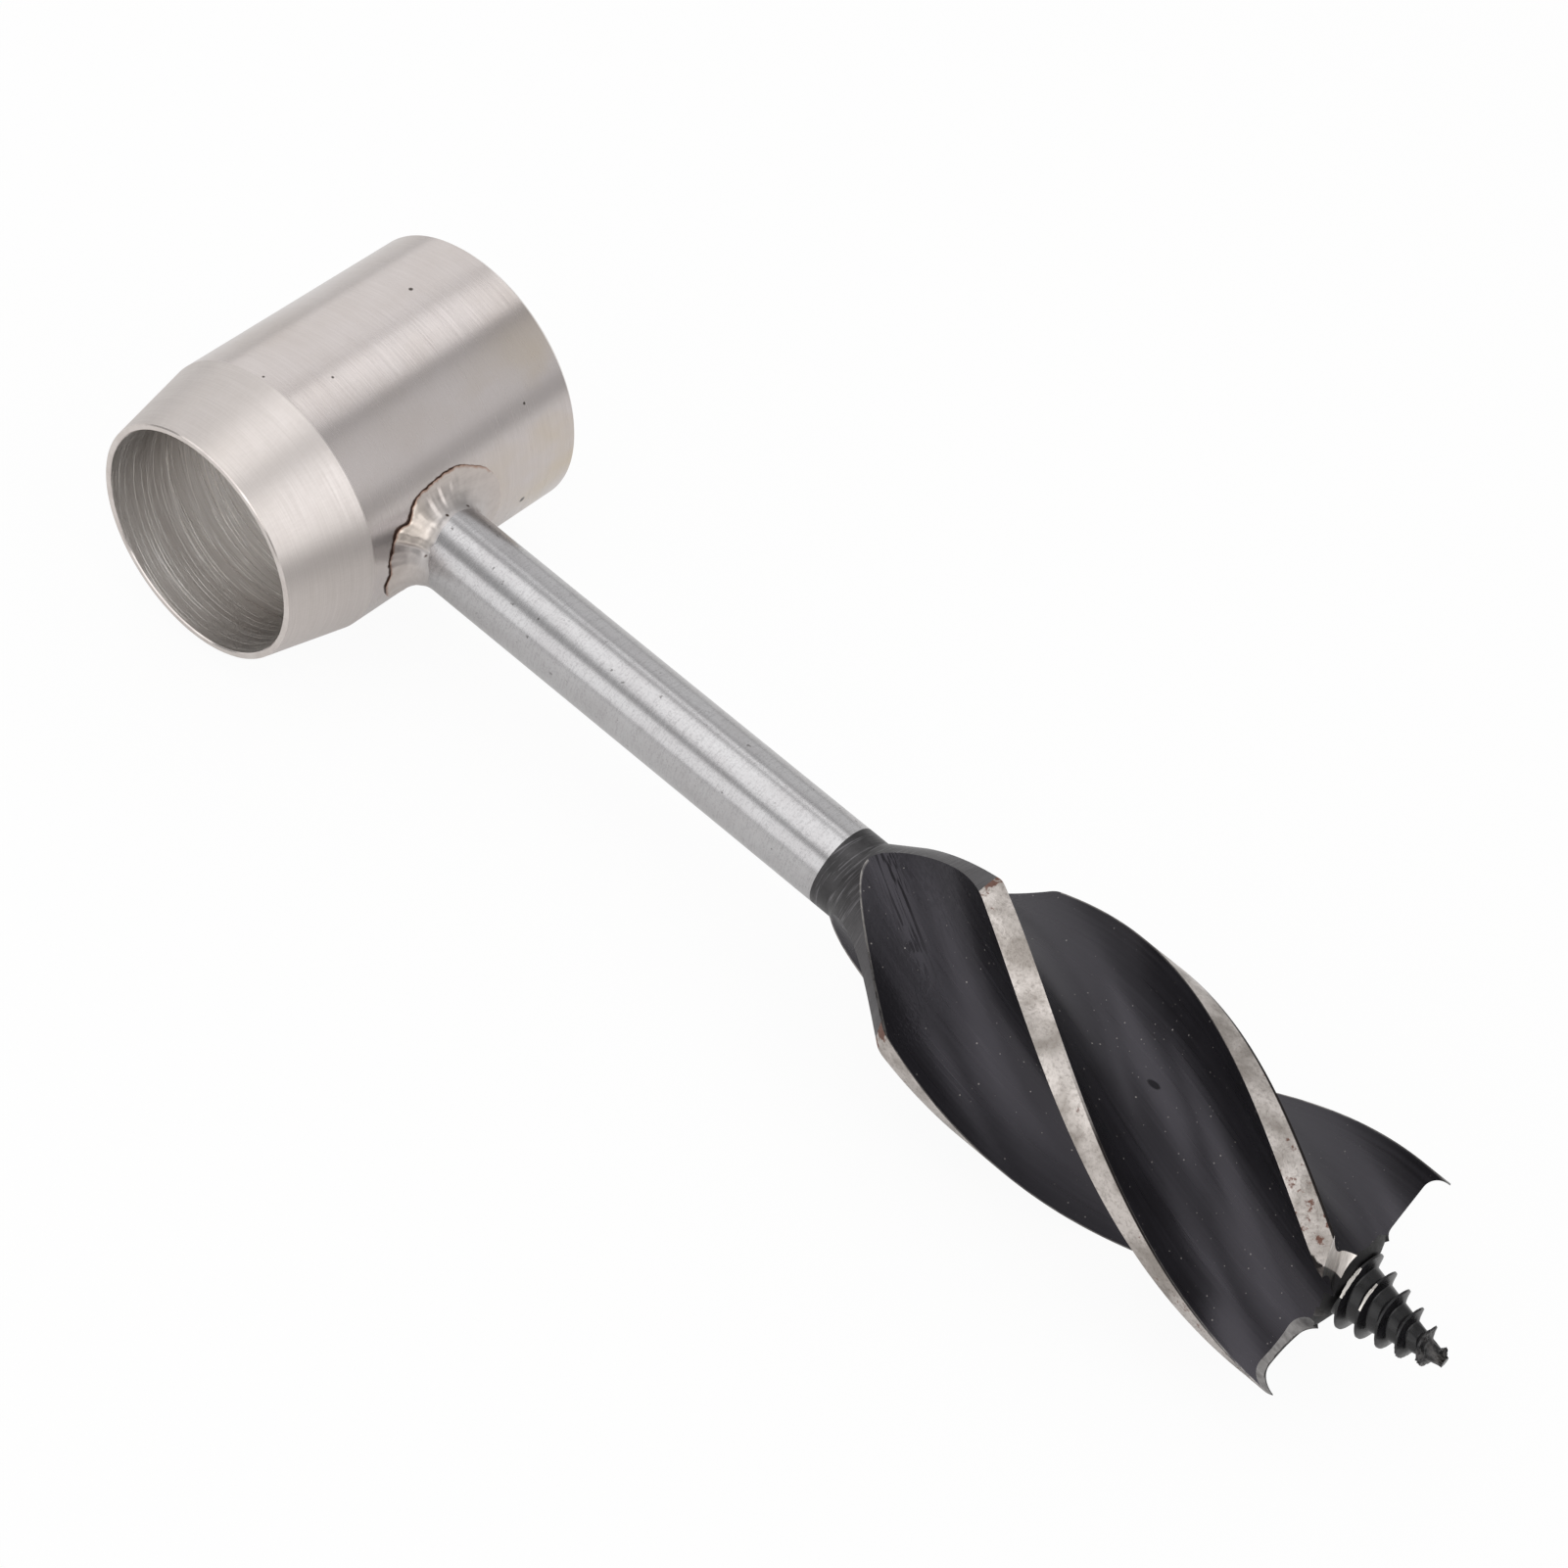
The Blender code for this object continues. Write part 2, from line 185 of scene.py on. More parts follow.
# Stainless steel, brushed round the tube: light warm grey with soft long reflections and hair lines.
# Real brush lines are finer than 0.1 mm, and are drawn about 0.15 mm wide to show.
stainless, tree = new_finish("brushed_stainless", Metallic=1)
point = tool_space(tree)
place = add(tree, "SeparateXYZ", point)
round_lines = marks(tree, point, (6, 0.13, 6), 3, 0.6)
long_lines = marks(tree, point, (0.17, 7, 0.17), 3, 0.6)
taper_edge = TAPER_LENGTH - SLEEVE_HALF
taper_to_tube = (place.outputs["Y"], taper_edge, taper_edge + TAPER_BLEND)
on_taper = add(tree, "MapRange", *taper_to_tube, 0.5, 0.15)
cross_lines = add(tree, "Math", long_lines, on_taper, operation="MULTIPLY")
lines = add(tree, "Math", round_lines, cross_lines, operation="ADD")
clouds = marks(tree, point, (9, 14, 9), 3, 0.55)
cloudy = add(tree, "MapRange", clouds, 0.38, 0.66)
tint = add(tree, "Mix", cloudy, linear("#CCC5C3"), linear("#C4BCB8"), data_type="RGBA")
# The taper was turned after the tube was brushed, so it is a little brighter.
fresh = add(tree, "MapRange", *taper_to_tube, 0.5, 0)
tint = add(tree, "Mix", fresh, tint, linear("#D8D2CE"), data_type="RGBA")
# Heat from the weld and the brush has left straw-coloured stains on the back half, to the right.
behind = add(tree, "MapRange", place.outputs["Y"], *STRAW_BEHIND)
to_right = add(tree, "MapRange", place.outputs["X"], *STRAW_RIGHT)
heated = add(tree, "Math", behind, to_right, operation="MULTIPLY")
straw = add(tree, "Math", heated, cloudy, operation="MULTIPLY")
tint = add(tree, "Mix", straw, tint, linear("#CBBDA6"), data_type="RGBA")
lined = add(tree, "MapRange", lines, 0.42, 0.95, 0, 0.24)
tint = add(tree, "Mix", lined, tint, linear("#A69D97"), data_type="RGBA")
# Pits that the brush left, as (x, y, z, size) in millimetres, on the sleeve's skin. Brush lines fray them.
PITS = (
    (-2.0, 10.5, 14.9, 0.34),
    (1.9, -3.9, 14.9, 0.20),
    (-2.4, -9.0, 14.8, 0.20),
    (12.3, 13.0, 8.6, 0.22),
    (14.8, 11.9, -2.6, 0.50),
)
pitted = None
for x, y, z, size in PITS:
    away = add(tree, "VectorMath", point, Vector((x, y, z)) / 1000, operation="DISTANCE")
    radius = size / 2000
    ragged = add(tree, "Math", lines, radius * PIT_FRAY, away, operation="MULTIPLY_ADD")
    pit = add(tree, "MapRange", ragged, radius * PIT_FULL, radius * PIT_GONE, 1, 0)
    pitted = add(tree, "Math", pitted, pit, operation="MAXIMUM") if pitted else pit
tint = add(tree, "Mix", pitted, tint, linear("#4B4541"), data_type="RGBA")
height = add(tree, "Math", lines, pitted, operation="SUBTRACT")
# Brushed both ways, the taper scatters what it mirrors.
crossed = add(tree, "MapRange", *taper_to_tube, 0.11, 0)
gloss = add(tree, "Math", add(tree, "MapRange", lines, 0.3, 1.0, 0.20, 0.32), crossed, operation="ADD")
lay_on(tree, tint, gloss, (height, 0.04, 0.00004))

# The rims are polished bright where the ends were finished against a wheel.
polished, tree = new_finish("polished_stainless", Metallic=1)
wear = marks(tree, tool_space(tree), (1.4, 1.4, 1.4))
tint = add(tree, "Mix", wear, linear("#DDD7D3"), linear("#C6BDB8"), data_type="RGBA")
lay_on(tree, tint, add(tree, "MapRange", wear, 0.3, 0.7, 0.12, 0.24))

# The bore shows the boring tool's rings, drawn 0.3 mm wide, and bright scratches that swarf dragged
# round it a little askew.
bored, tree = new_finish("turned_stainless", Metallic=1)
point = tool_space(tree)
rings = marks(tree, point, (30, 0.3, 30), 4, 0.65)
askew = add(tree, "VectorRotate", point, None, SCRATCH_LEAN, rotation_type="X_AXIS")
scratches = add(tree, "MapRange", marks(tree, askew, (12, 0.17, 12), 3, 0.55), 0.58, 0.68)
ringed = add(tree, "MapRange", rings, 0.3, 0.7)
# Painted light: the bore's tints are lighter than the sleeve's outside, to brighten the shaded inside of the
# tube.
tint = add(tree, "Mix", ringed, linear("#D2CECB"), linear("#E4E1DE"), data_type="RGBA")
tint = add(tree, "Mix", scratches, tint, linear("#F0EAE4"), data_type="RGBA")
height = add(tree, "Math", rings, scratches, operation="ADD")
# A stick pushed in at the mouth has scuffed it dull there.
place = add(tree, "SeparateXYZ", point)
scuffed = add(tree, "MapRange", place.outputs["Y"], -SLEEVE_HALF, SCUFFED_TO, 0.12, 0)
gloss = add(tree, "Math", add(tree, "MapRange", rings, 0.3, 0.7, 0.24, 0.38), scuffed, operation="ADD")
lay_on(tree, tint, gloss, (height, 0.5, 0.00007))

mouth, rear = -SLEEVE_HALF, SLEEVE_HALF
rim_outside = BORE_RADIUS + MOUTH_RIM
sleeve_profile = [
    (SLEEVE_RADIUS - REAR_CHAMFER, rear),
    (SLEEVE_RADIUS, rear - REAR_CHAMFER),
    (SLEEVE_RADIUS, mouth + TAPER_LENGTH),
    (rim_outside, mouth + RIM_ROUND),
    (rim_outside - RIM_ROUND, mouth),
    (BORE_RADIUS + RIM_ROUND, mouth),
    (BORE_RADIUS, mouth + RIM_ROUND),
    (BORE_RADIUS, rear - REAR_CHAMFER),
    (BORE_RADIUS + REAR_CHAMFER, rear),
]
bm = turned(sleeve_profile, Vector((0, 1, 0)), SLEEVE_SEGMENTS)
for face in bm.faces:
    middle = face.calc_center_median()
    radius = math.hypot(middle.x, middle.z)
    at_rim = abs(middle.y) > SLEEVE_HALF - REAR_CHAMFER
    face.material_index = 1 if at_rim else 2 if radius < BORE_RADIUS + RIM_ROUND else 0
eye_sleeve = piece("eye_sleeve_brushed", bm, (stainless, polished, bored), SLEEVE_SHARP)
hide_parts("eye_sleeve")


# Shank
# The plain part of the bit: round bar steel, ground bright, butted on the sleeve and welded there.
# Grinding leaves fine marks across the bar, and handling has left a few dark specks.
SHANK_RADIUS = 0.00442
SHANK_FOOT = 0.0137
NECK = 0.0688
SHANK_SEGMENTS = 128
SHANK_SHARP = math.radians(30)

# Ground steel: neutral mid grey, a clean sheen along the bar, marks drawn 0.16 mm wide to show.
ground, tree = new_finish("ground_steel", Metallic=1)
point = tool_space(tree)
lines = marks(tree, point, (0.16, 1.6, 1.6), 2, 0.6)
grain = marks(tree, point, (0.22, 0.22, 0.22), 2, 0.6)
clouds = marks(tree, point, (5, 2, 2), 3, 0.5)
cloudy = add(tree, "MapRange", clouds, 0.3, 0.7)
tint = add(tree, "Mix", cloudy, linear("#BCBBBC"), linear("#B4B2B3"), data_type="RGBA")
fine = add(tree, "Math", lines, grain, operation="MULTIPLY")
lined = add(tree, "MapRange", fine, 0.22, 0.42, 0, 0.4)
tint = add(tree, "Mix", lined, tint, linear("#8B898A"), data_type="RGBA")
specks = add(tree, "MapRange", marks(tree, point, (0.7, 0.7, 0.7)), 0.71, 0.76, 0, 0.7)
tint = add(tree, "Mix", specks, tint, linear("#5E5B5A"), data_type="RGBA")
lay_on(tree, tint, add(tree, "MapRange", grain, 0.3, 0.7, 0.20, 0.28), (fine, 0.12, 0.00004))

shank_profile = [(0, SHANK_FOOT), (SHANK_RADIUS, SHANK_FOOT), (SHANK_RADIUS, NECK), (0, NECK)]
bm = turned(shank_profile, Vector((1, 0, 0)), SHANK_SEGMENTS)
shank = piece("shank_ground", bm, (ground,), SHANK_SHARP)
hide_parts("shank")


# Weld bead
# A fillet of weld metal between the sleeve and the foot of the shank, ground hollow by hand.
# One side is a raised pale lump, and a brown crack shows along the toe on that side and over the top.

# The toe's distance from the shank's axis and where the bead ends along it, in millimetres, at some
# turns in degrees about the shank from +Y.
TOE = (
    *((0, 8.2), (35, 8.3), (60, 7.85), (95, 7.2), (115, 7.3), (131, 6.7), (142, 7.8), (165, 7.6)),
    *((180, 7.2), (195, 7.8), (250, 7.5), (310, 7.9), (360, 8.2)),
)
RUN_OUT = ((0, 16.4), (80, 16.0), (140, 16.7), (184, 17.7), (270, 17.2), (360, 16.4))
# How far the crack is open, from 0 to 1, and where lumps stand proud or valleys lie, in millimetres.
CRACK = ((0, 0.0), (20, 0.0), (40, 0.8), (90, 1.0), (200, 1.0), (230, 0.3), (320, 0.1), (360, 0.0))
LUMP = (
    *((0, 0.0), (105, 0.05), (122, 0.25), (138, 0.38), (146, 0.30)),
    *((153, -0.08), (160, -0.06), (175, 0.06), (360, 0.0)),
)
LUMP_LEAN = 0.6
LUMP_BREADTH = 0.8
WELD_FULLNESS = 0.14
WELD_LIP = 0.00014
WELD_DEPTH = 0.0006
ROUGHEN = 0.00007
ROUGHEN_SIZE = 0.0012
RIPPLES = 6
TOE_CROWDING = 1.5
CRACK_NARROWING = 12
PALE_GAIN = 3
PALE_SPREAD = 0.5
WELD_SEGMENTS = 300
WELD_STEPS = 32
WELD_SHARP = math.radians(40)


def along_turns(table, turn):
    """A value from a table of (turn, value), eased from each entry to the next."""
    turn = math.degrees(turn) % 360
    for (before, low), (after, high) in zip(table, table[1:]):
        if before <= turn <= after:
            t = (turn - before) / (after - before)
            return low + (high - low) * t * t * (3 - 2 * t)


# Weld metal, ground: like the stainless near the sleeve and like the shank near the bar, with fine swirls,
# pores, and brown oxide in the crack.
weld, tree = new_finish("ground_weld", Metallic=1)
point = tool_space(tree)
toe = add(tree, "Attribute", attribute_name="toe").outputs["Fac"]
crack = add(tree, "Attribute", attribute_name="crack").outputs["Fac"]
pale = add(tree, "Attribute", attribute_name="pale").outputs["Fac"]
grain = marks(tree, point, (0.5, 0.5, 0.5), 3, 0.6)
swirls = marks(tree, point, (0.22, 2.5, 0.9), 2, 0.6)
tint = add(tree, "Mix", toe, linear("#B9B5B4"), linear("#C6BDB8"), data_type="RGBA")
tint = add(tree, "Mix", pale, tint, linear("#DED3C8"), data_type="RGBA")
swirled = add(tree, "MapRange", swirls, 0.45, 0.75, 0, 0.22)
tint = add(tree, "Mix", swirled, tint, linear("#958D88"), data_type="RGBA")
by_crack = add(tree, "Math", grain, 0.5, crack, operation="MULTIPLY_ADD")
rusty = add(tree, "MapRange", by_crack, 0.72, 1.02, 0, 0.8)
tint = add(tree, "Mix", rusty, tint, linear("#A37F6C"), data_type="RGBA")
in_crack = add(tree, "Math", grain, 0.3, crack, operation="MULTIPLY_ADD")
opened = add(tree, "MapRange", in_crack, 0.98, 1.10)
tint = add(tree, "Mix", opened, tint, linear("#43332C"), data_type="RGBA")
pores = add(tree, "MapRange", marks(tree, point, (1.1, 1.1, 1.1), 1, 0.4), 0.73, 0.77)
tint = add(tree, "Mix", pores, tint, linear("#4A3F38"), data_type="RGBA")
height = add(tree, "Math", add(tree, "Math", swirls, 0.5, operation="MULTIPLY"), pores, operation="SUBTRACT")
lay_on(tree, tint, add(tree, "MapRange", grain, 0.3, 0.7, 0.28, 0.40), (height, 0.2, 0.00006))


def on_sleeve(radius, turn):
    """How far out the sleeve's skin is at a place round the shank."""
    return math.sqrt(SLEEVE_RADIUS**2 - (radius * math.sin(turn)) ** 2)


def weld_ring(turn):
    """The bead's outline at one turn about the shank, with each point's share of the way to the toe."""
    around = Vector((math.cos(turn), math.sin(turn), 0)) * RIPPLES
    lip = WELD_LIP * along_turns(CRACK, turn) * (1 + noise.noise(around * 2))
    toe_radius = along_turns(TOE, turn) / 1000 + ROUGHEN * noise.noise(around * 3)
    start = Vector((toe_radius, on_sleeve(toe_radius, turn) + lip))
    end = Vector((SHANK_RADIUS, along_turns(RUN_OUT, turn) / 1000 + ROUGHEN * noise.noise(around)))
    corner = Vector((SHANK_RADIUS, on_sleeve(SHANK_RADIUS, turn))).lerp((start + end) / 2, WELD_FULLNESS)
    ring = [(start - Vector((0, lip + WELD_DEPTH)), 1.0)]
    for step in range(WELD_STEPS + 1):
        t = (step / WELD_STEPS) ** TOE_CROWDING
        here = (1 - t) ** 2 * start + 2 * t * (1 - t) * corner + t**2 * end
        place = Vector((here.y, here.x * math.cos(turn), here.x * math.sin(turn)))
        swell = math.sin(math.pi * t) * (ROUGHEN * noise.noise(place / ROUGHEN_SIZE))
        swell += along_turns(LUMP, turn) / 1000 * math.sin(math.pi * t**LUMP_LEAN) ** LUMP_BREADTH
        ring.append((here + Vector((swell, swell)), 1 - t))
    ring.append((end - Vector((WELD_DEPTH, 0)), 0.0))
    ring.append((Vector((SHANK_RADIUS - WELD_DEPTH, SHANK_FOOT)), 0.0))
    return ring


bm = bmesh.new()
toe_layer = bm.verts.layers.float.new("toe")
crack_layer = bm.verts.layers.float.new("crack")
pale_layer = bm.verts.layers.float.new("pale")
rings = []
for number in range(WELD_SEGMENTS):
    turn = number * math.tau / WELD_SEGMENTS
    ring = []
    for (radius, along), share in weld_ring(turn):
        vert = bm.verts.new((along, radius * math.cos(turn), radius * math.sin(turn)))
        vert[toe_layer] = share
        vert[crack_layer] = share**CRACK_NARROWING * along_turns(CRACK, turn)
        vert[pale_layer] = min(max(along_turns(LUMP, turn) * PALE_GAIN, 0), 1) * share**PALE_SPREAD
        ring.append(vert)
    rings.append(ring)
for ring, following in zip(rings, rings[1:] + rings[:1]):
    for here in range(len(ring)):
        bm.faces.new((ring[here - 1], following[here - 1], following[here], ring[here]))
weld_bead = piece("weld_bead_ground", bm, (weld,), WELD_SHARP)
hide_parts("weld_bead")


# Fluted head
# The boring part of the bit: four wings milled in a right-hand helix, blacked, then ground bright on
# their lands. The neck and shoulder are turned, and wheels have hollowed the spurs and faced the lips.
BIT_RADIUS = 0.0125
CORE_RADIUS = 0.00482
WING_COUNT = 4
LAND_WIDTH = 0.00295
HALF_LAND = LAND_WIDTH / (2 * BIT_RADIUS)
FLUTE_LEAD = 0.1336
SPUR_END = 0.132
SPUR_TURN = math.radians(37.4)
TWIST_RATE = math.tau / FLUTE_LEAD
CUT_PAST = 0.001
HEAD_STATIONS = 250
LAND_POINTS = 9
FLUTE_POINTS = 44
HEAD_SHARP = math.radians(20)

CONE_START = 0.0712
SHOULDER_END = 0.0855
SHOULDER_ROUND = 0.002
GROUND_FROM = 0.0843
ROUND_STEPS = 10
CONE_STEPS = 40
SHOULDER_SEGMENTS = 180
CONE_SLOPE = (BIT_RADIUS - SHANK_RADIUS) / (SHOULDER_END - CONE_START)
SEAM = 0.00001
LAND_SLACK = 0.000002

# The wheel's hollow in each spur's end, as (where the spur ends, depth, rounding of the wheel's corners):
# one spur is longer and sharper than the other.
SPUR_HOLLOWS = {0: (0.13275, 0.0017, 0.0016), 2: (0.13150, 0.00137, 0.0020)}
SPUR_WHEEL = 0.0039
WHEEL_INNER = 0.0046
WHEEL_PASS = 0.005
WHEEL_HEIGHT = 0.006
CORNER_STEPS = 16
SPUR_RELIEF = math.radians(12)
BAR_END = 0.1331
LIP_WINGS = (1, 3)
LIP_WHEEL = 0.0052
LIP_CORNER = 0.0026
LIP_SETBACK = 0.0006
LIP_RELIEF = math.radians(21.5)
LIP_CLIP = 0.0006
CLIP_SLANT = Vector((1, 0.5, 0.6)).normalized()
NOSE_END = 0.1319
NOSE_TIP = 0.0026
NOSE_FOOT = 0.1309
NOSE_RADIUS = 0.0053

half_flute = math.pi / WING_COUNT - HALF_LAND
half_chord = BIT_RADIUS * math.sin(half_flute)
flute_depth = BIT_RADIUS * math.cos(half_flute) - CORE_RADIUS
FLUTE_RADIUS = (half_chord**2 + flute_depth**2) / (2 * flute_depth)
FLUTE_SWEEP = math.atan2(half_chord, FLUTE_RADIUS - flute_depth)
FLUTE_MIDDLE = math.pi / WING_COUNT


def wing_space(tree, twist=TWIST_RATE):
    """The point, the point with the twist taken out so that wing 0 is at +Y, its X and its radius."""
    point = tool_space(tree)
    along = add(tree, "SeparateXYZ", point).outputs["X"]
    turn = add(tree, "Math", along, -twist, twist * SPUR_END - SPUR_TURN, operation="MULTIPLY_ADD")
    straight = add(tree, "VectorRotate", point, None, turn, rotation_type="X_AXIS")
    across = add(tree, "VectorMath", point, (0, 1, 1), operation="MULTIPLY")
    radius = add(tree, "VectorMath", across, operation="LENGTH")
    return point, straight, along, radius


def wing_side(tree, straight):
    """Where a point is round its wing: a quarter of the sine of four turns, above 0 on the leading side."""
    across = add(tree, "VectorMath", straight, (0, 1, 1), operation="MULTIPLY")
    unit = add(tree, "SeparateXYZ", add(tree, "VectorMath", across, operation="NORMALIZE")).outputs
    both = add(tree, "Math", unit["Y"], unit["Z"], operation="MULTIPLY")
    wide = add(tree, "Math", unit["Y"], unit["Y"], operation="MULTIPLY")
    deep = add(tree, "Math", unit["Z"], unit["Z"], operation="MULTIPLY")
    return add(tree, "Math", both, add(tree, "Math", wide, deep, operation="SUBTRACT"), operation="MULTIPLY")


# Black oxide on milled steel: satin, almost black, a little blue in the light, with faint streaks along
# the flute from the cutter and deeper ones where it came out at the neck. Its edges are rubbed bright,
# and dust lies on it in specks of up to 0.2 mm.
PLUNGE_LEAD = 0.0564
PLUNGE_TWIST = math.tau / PLUNGE_LEAD
SCORED_AT = math.radians(65.6)
SCORED_TO = (0.078, 0.088)
BLUED = (0.93, 0.88, 1.0, 1)
FLUTE_PIT = (0.10675, -0.00036, 0.00495)
PIT_EDGE = (0.0006, 0.0008)
PIT_SQUEEZE = (1, 2.4, 2.4)
SUNK_DEPTH = 3.0
SUNK_DULL = 0.167
DUST_CELLS = 1700.0
RUBBED_EDGE = (0.00002, 0.00016)
blacked, tree = new_finish("black_oxide_steel", **{"Specular IOR Level": 0.55, "Specular Tint": BLUED})
point, straight, along, radius = wing_space(tree)
plunged = wing_space(tree, PLUNGE_TWIST)[1]
streaks = marks(tree, straight, (22, 0.45, 0.45), 3, 0.55)
scores = marks(tree, plunged, (40, 0.26, 0.26), 1, 0.5)
plunged = add(tree, "VectorMath", plunged, (0, 1, 1), operation="MULTIPLY")
plunged = add(tree, "VectorMath", plunged, operation="NORMALIZE")
scored_way = (0, math.cos(SCORED_AT), math.sin(SCORED_AT))
band = add(tree, "VectorMath", plunged, scored_way, operation="DOT_PRODUCT").outputs["Value"]
deepest = add(tree, "MapRange", band, 0.970, 0.992, 0.2, 1)
near_neck = add(tree, "Math", add(tree, "MapRange", along, *SCORED_TO, 1, 0), deepest, operation="MULTIPLY")
scored = add(tree, "Math", add(tree, "MapRange", scores, 0.50, 0.58), near_neck, operation="MULTIPLY")
clouds = marks(tree, point, (5, 5, 5), 3, 0.5)
cloudy = add(tree, "MapRange", clouds, 0.3, 0.7)
tint = add(tree, "Mix", cloudy, linear("#161517"), linear("#1E1D20"), data_type="RGBA")
streaked = add(tree, "MapRange", streaks, 0.52, 0.75, 0, 0.35)
tint = add(tree, "Mix", streaked, tint, linear("#2C2B2F"), data_type="RGBA")
tint = add(tree, "Mix", scored, tint, linear("#040404"), data_type="RGBA")
# One flute has a pit, a flaw of the bar about 1.4 mm long.
away = add(tree, "VectorMath", point, FLUTE_PIT, operation="SUBTRACT")
away = add(tree, "VectorMath", away, PIT_SQUEEZE, operation="MULTIPLY")
pit = add(tree, "MapRange", add(tree, "VectorMath", away, operation="LENGTH"), *PIT_EDGE, 1, 0)
tint = add(tree, "Mix", pit, tint, linear("#030303"), data_type="RGBA")
cells = add(tree, "TexVoronoi", point, DUST_CELLS)
chance = add(tree, "SeparateXYZ", cells.outputs["Color"])
grown = add(tree, "MapRange", chance.outputs["Y"], 0, 1, 0.04, 0.15)
speck = add(tree, "MapRange", add(tree, "Math", cells, grown, operation="DIVIDE"), 0.7, 1.1, 1, 0)
dust = add(tree, "Math", speck, add(tree, "MapRange", chance.outputs["X"], 0.45, 1.1), operation="MULTIPLY")
tint = add(tree, "Mix", dust, tint, linear("#A7A29D"), data_type="RGBA")
# The cone's edges are rubbed on the trailing side of each wing, and the lands' edges on both sides.
cone = add(tree, "Math", along, CONE_SLOPE, SHANK_RADIUS - CONE_SLOPE * CONE_START, operation="MULTIPLY_ADD")
outside = add(tree, "Math", cone, BIT_RADIUS, operation="MINIMUM")
below = add(tree, "Math", outside, radius, operation="SUBTRACT")
trailing = add(tree, "Math", wing_side(tree, straight), 0.0, operation="LESS_THAN")
past_cone = add(tree, "Math", along, SHOULDER_END, operation="GREATER_THAN")
rubbed_side = add(tree, "Math", trailing, past_cone, operation="MAXIMUM")
rubbing = marks(tree, point, (2.2, 2.2, 2.2), 3, 0.6)
edge = add(tree, "MapRange", below, *RUBBED_EDGE, 1, 0)
rubbed = add(tree, "Math", edge, add(tree, "MapRange", rubbing, 0.30, 0.52), operation="MULTIPLY")
rubbed = add(tree, "Math", rubbed, rubbed_side, operation="MULTIPLY")
tint = add(tree, "Mix", rubbed, tint, linear("#A5A19E"), data_type="RGBA")
sunk = add(tree, "Math", scored, pit, operation="ADD")
sunk = add(tree, "Math", sunk, SUNK_DEPTH, operation="MULTIPLY")
height = add(tree, "Math", streaks, add(tree, "Math", dust, sunk, operation="SUBTRACT"), operation="ADD")
satin = add(tree, "MapRange", streaks, 0.3, 0.7, 0.25, 0.36)
gloss = add(tree, "Math", sunk, SUNK_DULL, satin, operation="MULTIPLY_ADD")
lay_on(tree, tint, gloss, (height, 0.22, 0.00006), rubbed)

# Lands ground bright on the black bar: pale warm grey with marks across them, mottled and pitted where
# scale was left, and rusty where the grinding starts and in spots near the tip.
RUST_AT_START = (GROUND_FROM + 0.0003, GROUND_FROM + 0.0016)
RUST_AT_END = (0.114, 0.126)
MISSED_STRIP = (-0.096, -0.089)
MISSED_FROM = (0.100, 0.108)
MISSED_CORNER = (0.1330, 0.1333)
CORNER_SLANT = 0.0293
CORNER_FRAY = 0.0012
land, tree = new_finish("ground_land", Metallic=1)
point, straight, along, _ = wing_space(tree)
mottle = marks(tree, point, (0.34, 0.34, 0.34), 4, 0.65)
clouds = marks(tree, point, (3.5, 3.5, 3.5), 3, 0.5)
rusting = marks(tree, point, (1.2, 1.2, 1.2), 4, 0.65)
cloudy = add(tree, "MapRange", clouds, 0.38, 0.62)
tint = add(tree, "Mix", cloudy, linear("#CEC7C2"), linear("#9C958F"), data_type="RGBA")
mottled = add(tree, "MapRange", mottle, 0.48, 0.70, 0, 0.5)
tint = add(tree, "Mix", mottled, tint, linear("#7F7771"), data_type="RGBA")
at_start = add(tree, "MapRange", along, *RUST_AT_START, 0.24, 0)
at_end = add(tree, "MapRange", along, *RUST_AT_END, 0, 0.115)
rustier = add(tree, "Math", rusting, add(tree, "Math", at_start, at_end, operation="ADD"), operation="ADD")
rust = add(tree, "MapRange", rustier, 0.67, 0.74, 0, 0.85)
tint = add(tree, "Mix", rust, tint, linear("#714A3D"), data_type="RGBA")
# Towards the tip the wheel has missed a strip about 0.3 mm wide along the trailing edge, and the leading
# corner at the very end.
place_round = wing_side(tree, straight)
missed = add(tree, "MapRange", place_round, *MISSED_STRIP, 1, 0)
missed = add(tree, "Math", missed, add(tree, "MapRange", along, *MISSED_FROM), operation="MULTIPLY")
corner = add(tree, "Math", place_round, CORNER_SLANT, along, operation="MULTIPLY_ADD")
corner = add(tree, "Math", mottle, CORNER_FRAY, corner, operation="MULTIPLY_ADD")
missed = add(tree, "Math", missed, add(tree, "MapRange", corner, *MISSED_CORNER), operation="MAXIMUM")
tint = add(tree, "Mix", missed, tint, linear("#2A2726"), data_type="RGBA")
satin = add(tree, "MapRange", mottle, 0.3, 0.7, 0.28, 0.44)
gloss = add(tree, "Math", rust, 0.3, satin, operation="MULTIPLY_ADD")
lay_on(tree, tint, gloss, (mottle, 0.45, 0.0001))

# The neck and shoulder are turned before blacking: grey-black, with the tool's grooves drawn 0.25 mm wide.
GROOVE_LEAN = math.radians(10)
NECK_TO_CONE = (CONE_START, 0.0775)
WORN_TO = (0.073, 0.079)
shoulder, tree = new_finish("turned_black_steel", Metallic=0.5)
point = tool_space(tree)
along = add(tree, "SeparateXYZ", point).outputs["X"]
leaning = add(tree, "VectorRotate", point, None, GROOVE_LEAN, rotation_type="Z_AXIS")
grooves = marks(tree, leaning, (0.25, 5, 5), 3, 0.6)
clouds = marks(tree, point, (2.4, 2.4, 2.4), 3, 0.55)
on_cone = add(tree, "MapRange", along, *NECK_TO_CONE)
tint = add(tree, "Mix", on_cone, linear("#2B2A2B"), linear("#454345"), data_type="RGBA")
cloudy = add(tree, "MapRange", clouds, 0.35, 0.7, 0, 0.4)
tint = add(tree, "Mix", cloudy, tint, linear("#5A585A"), data_type="RGBA")
worn = add(tree, "MapRange", grooves, 0.54, 0.66, 0, 0.75)
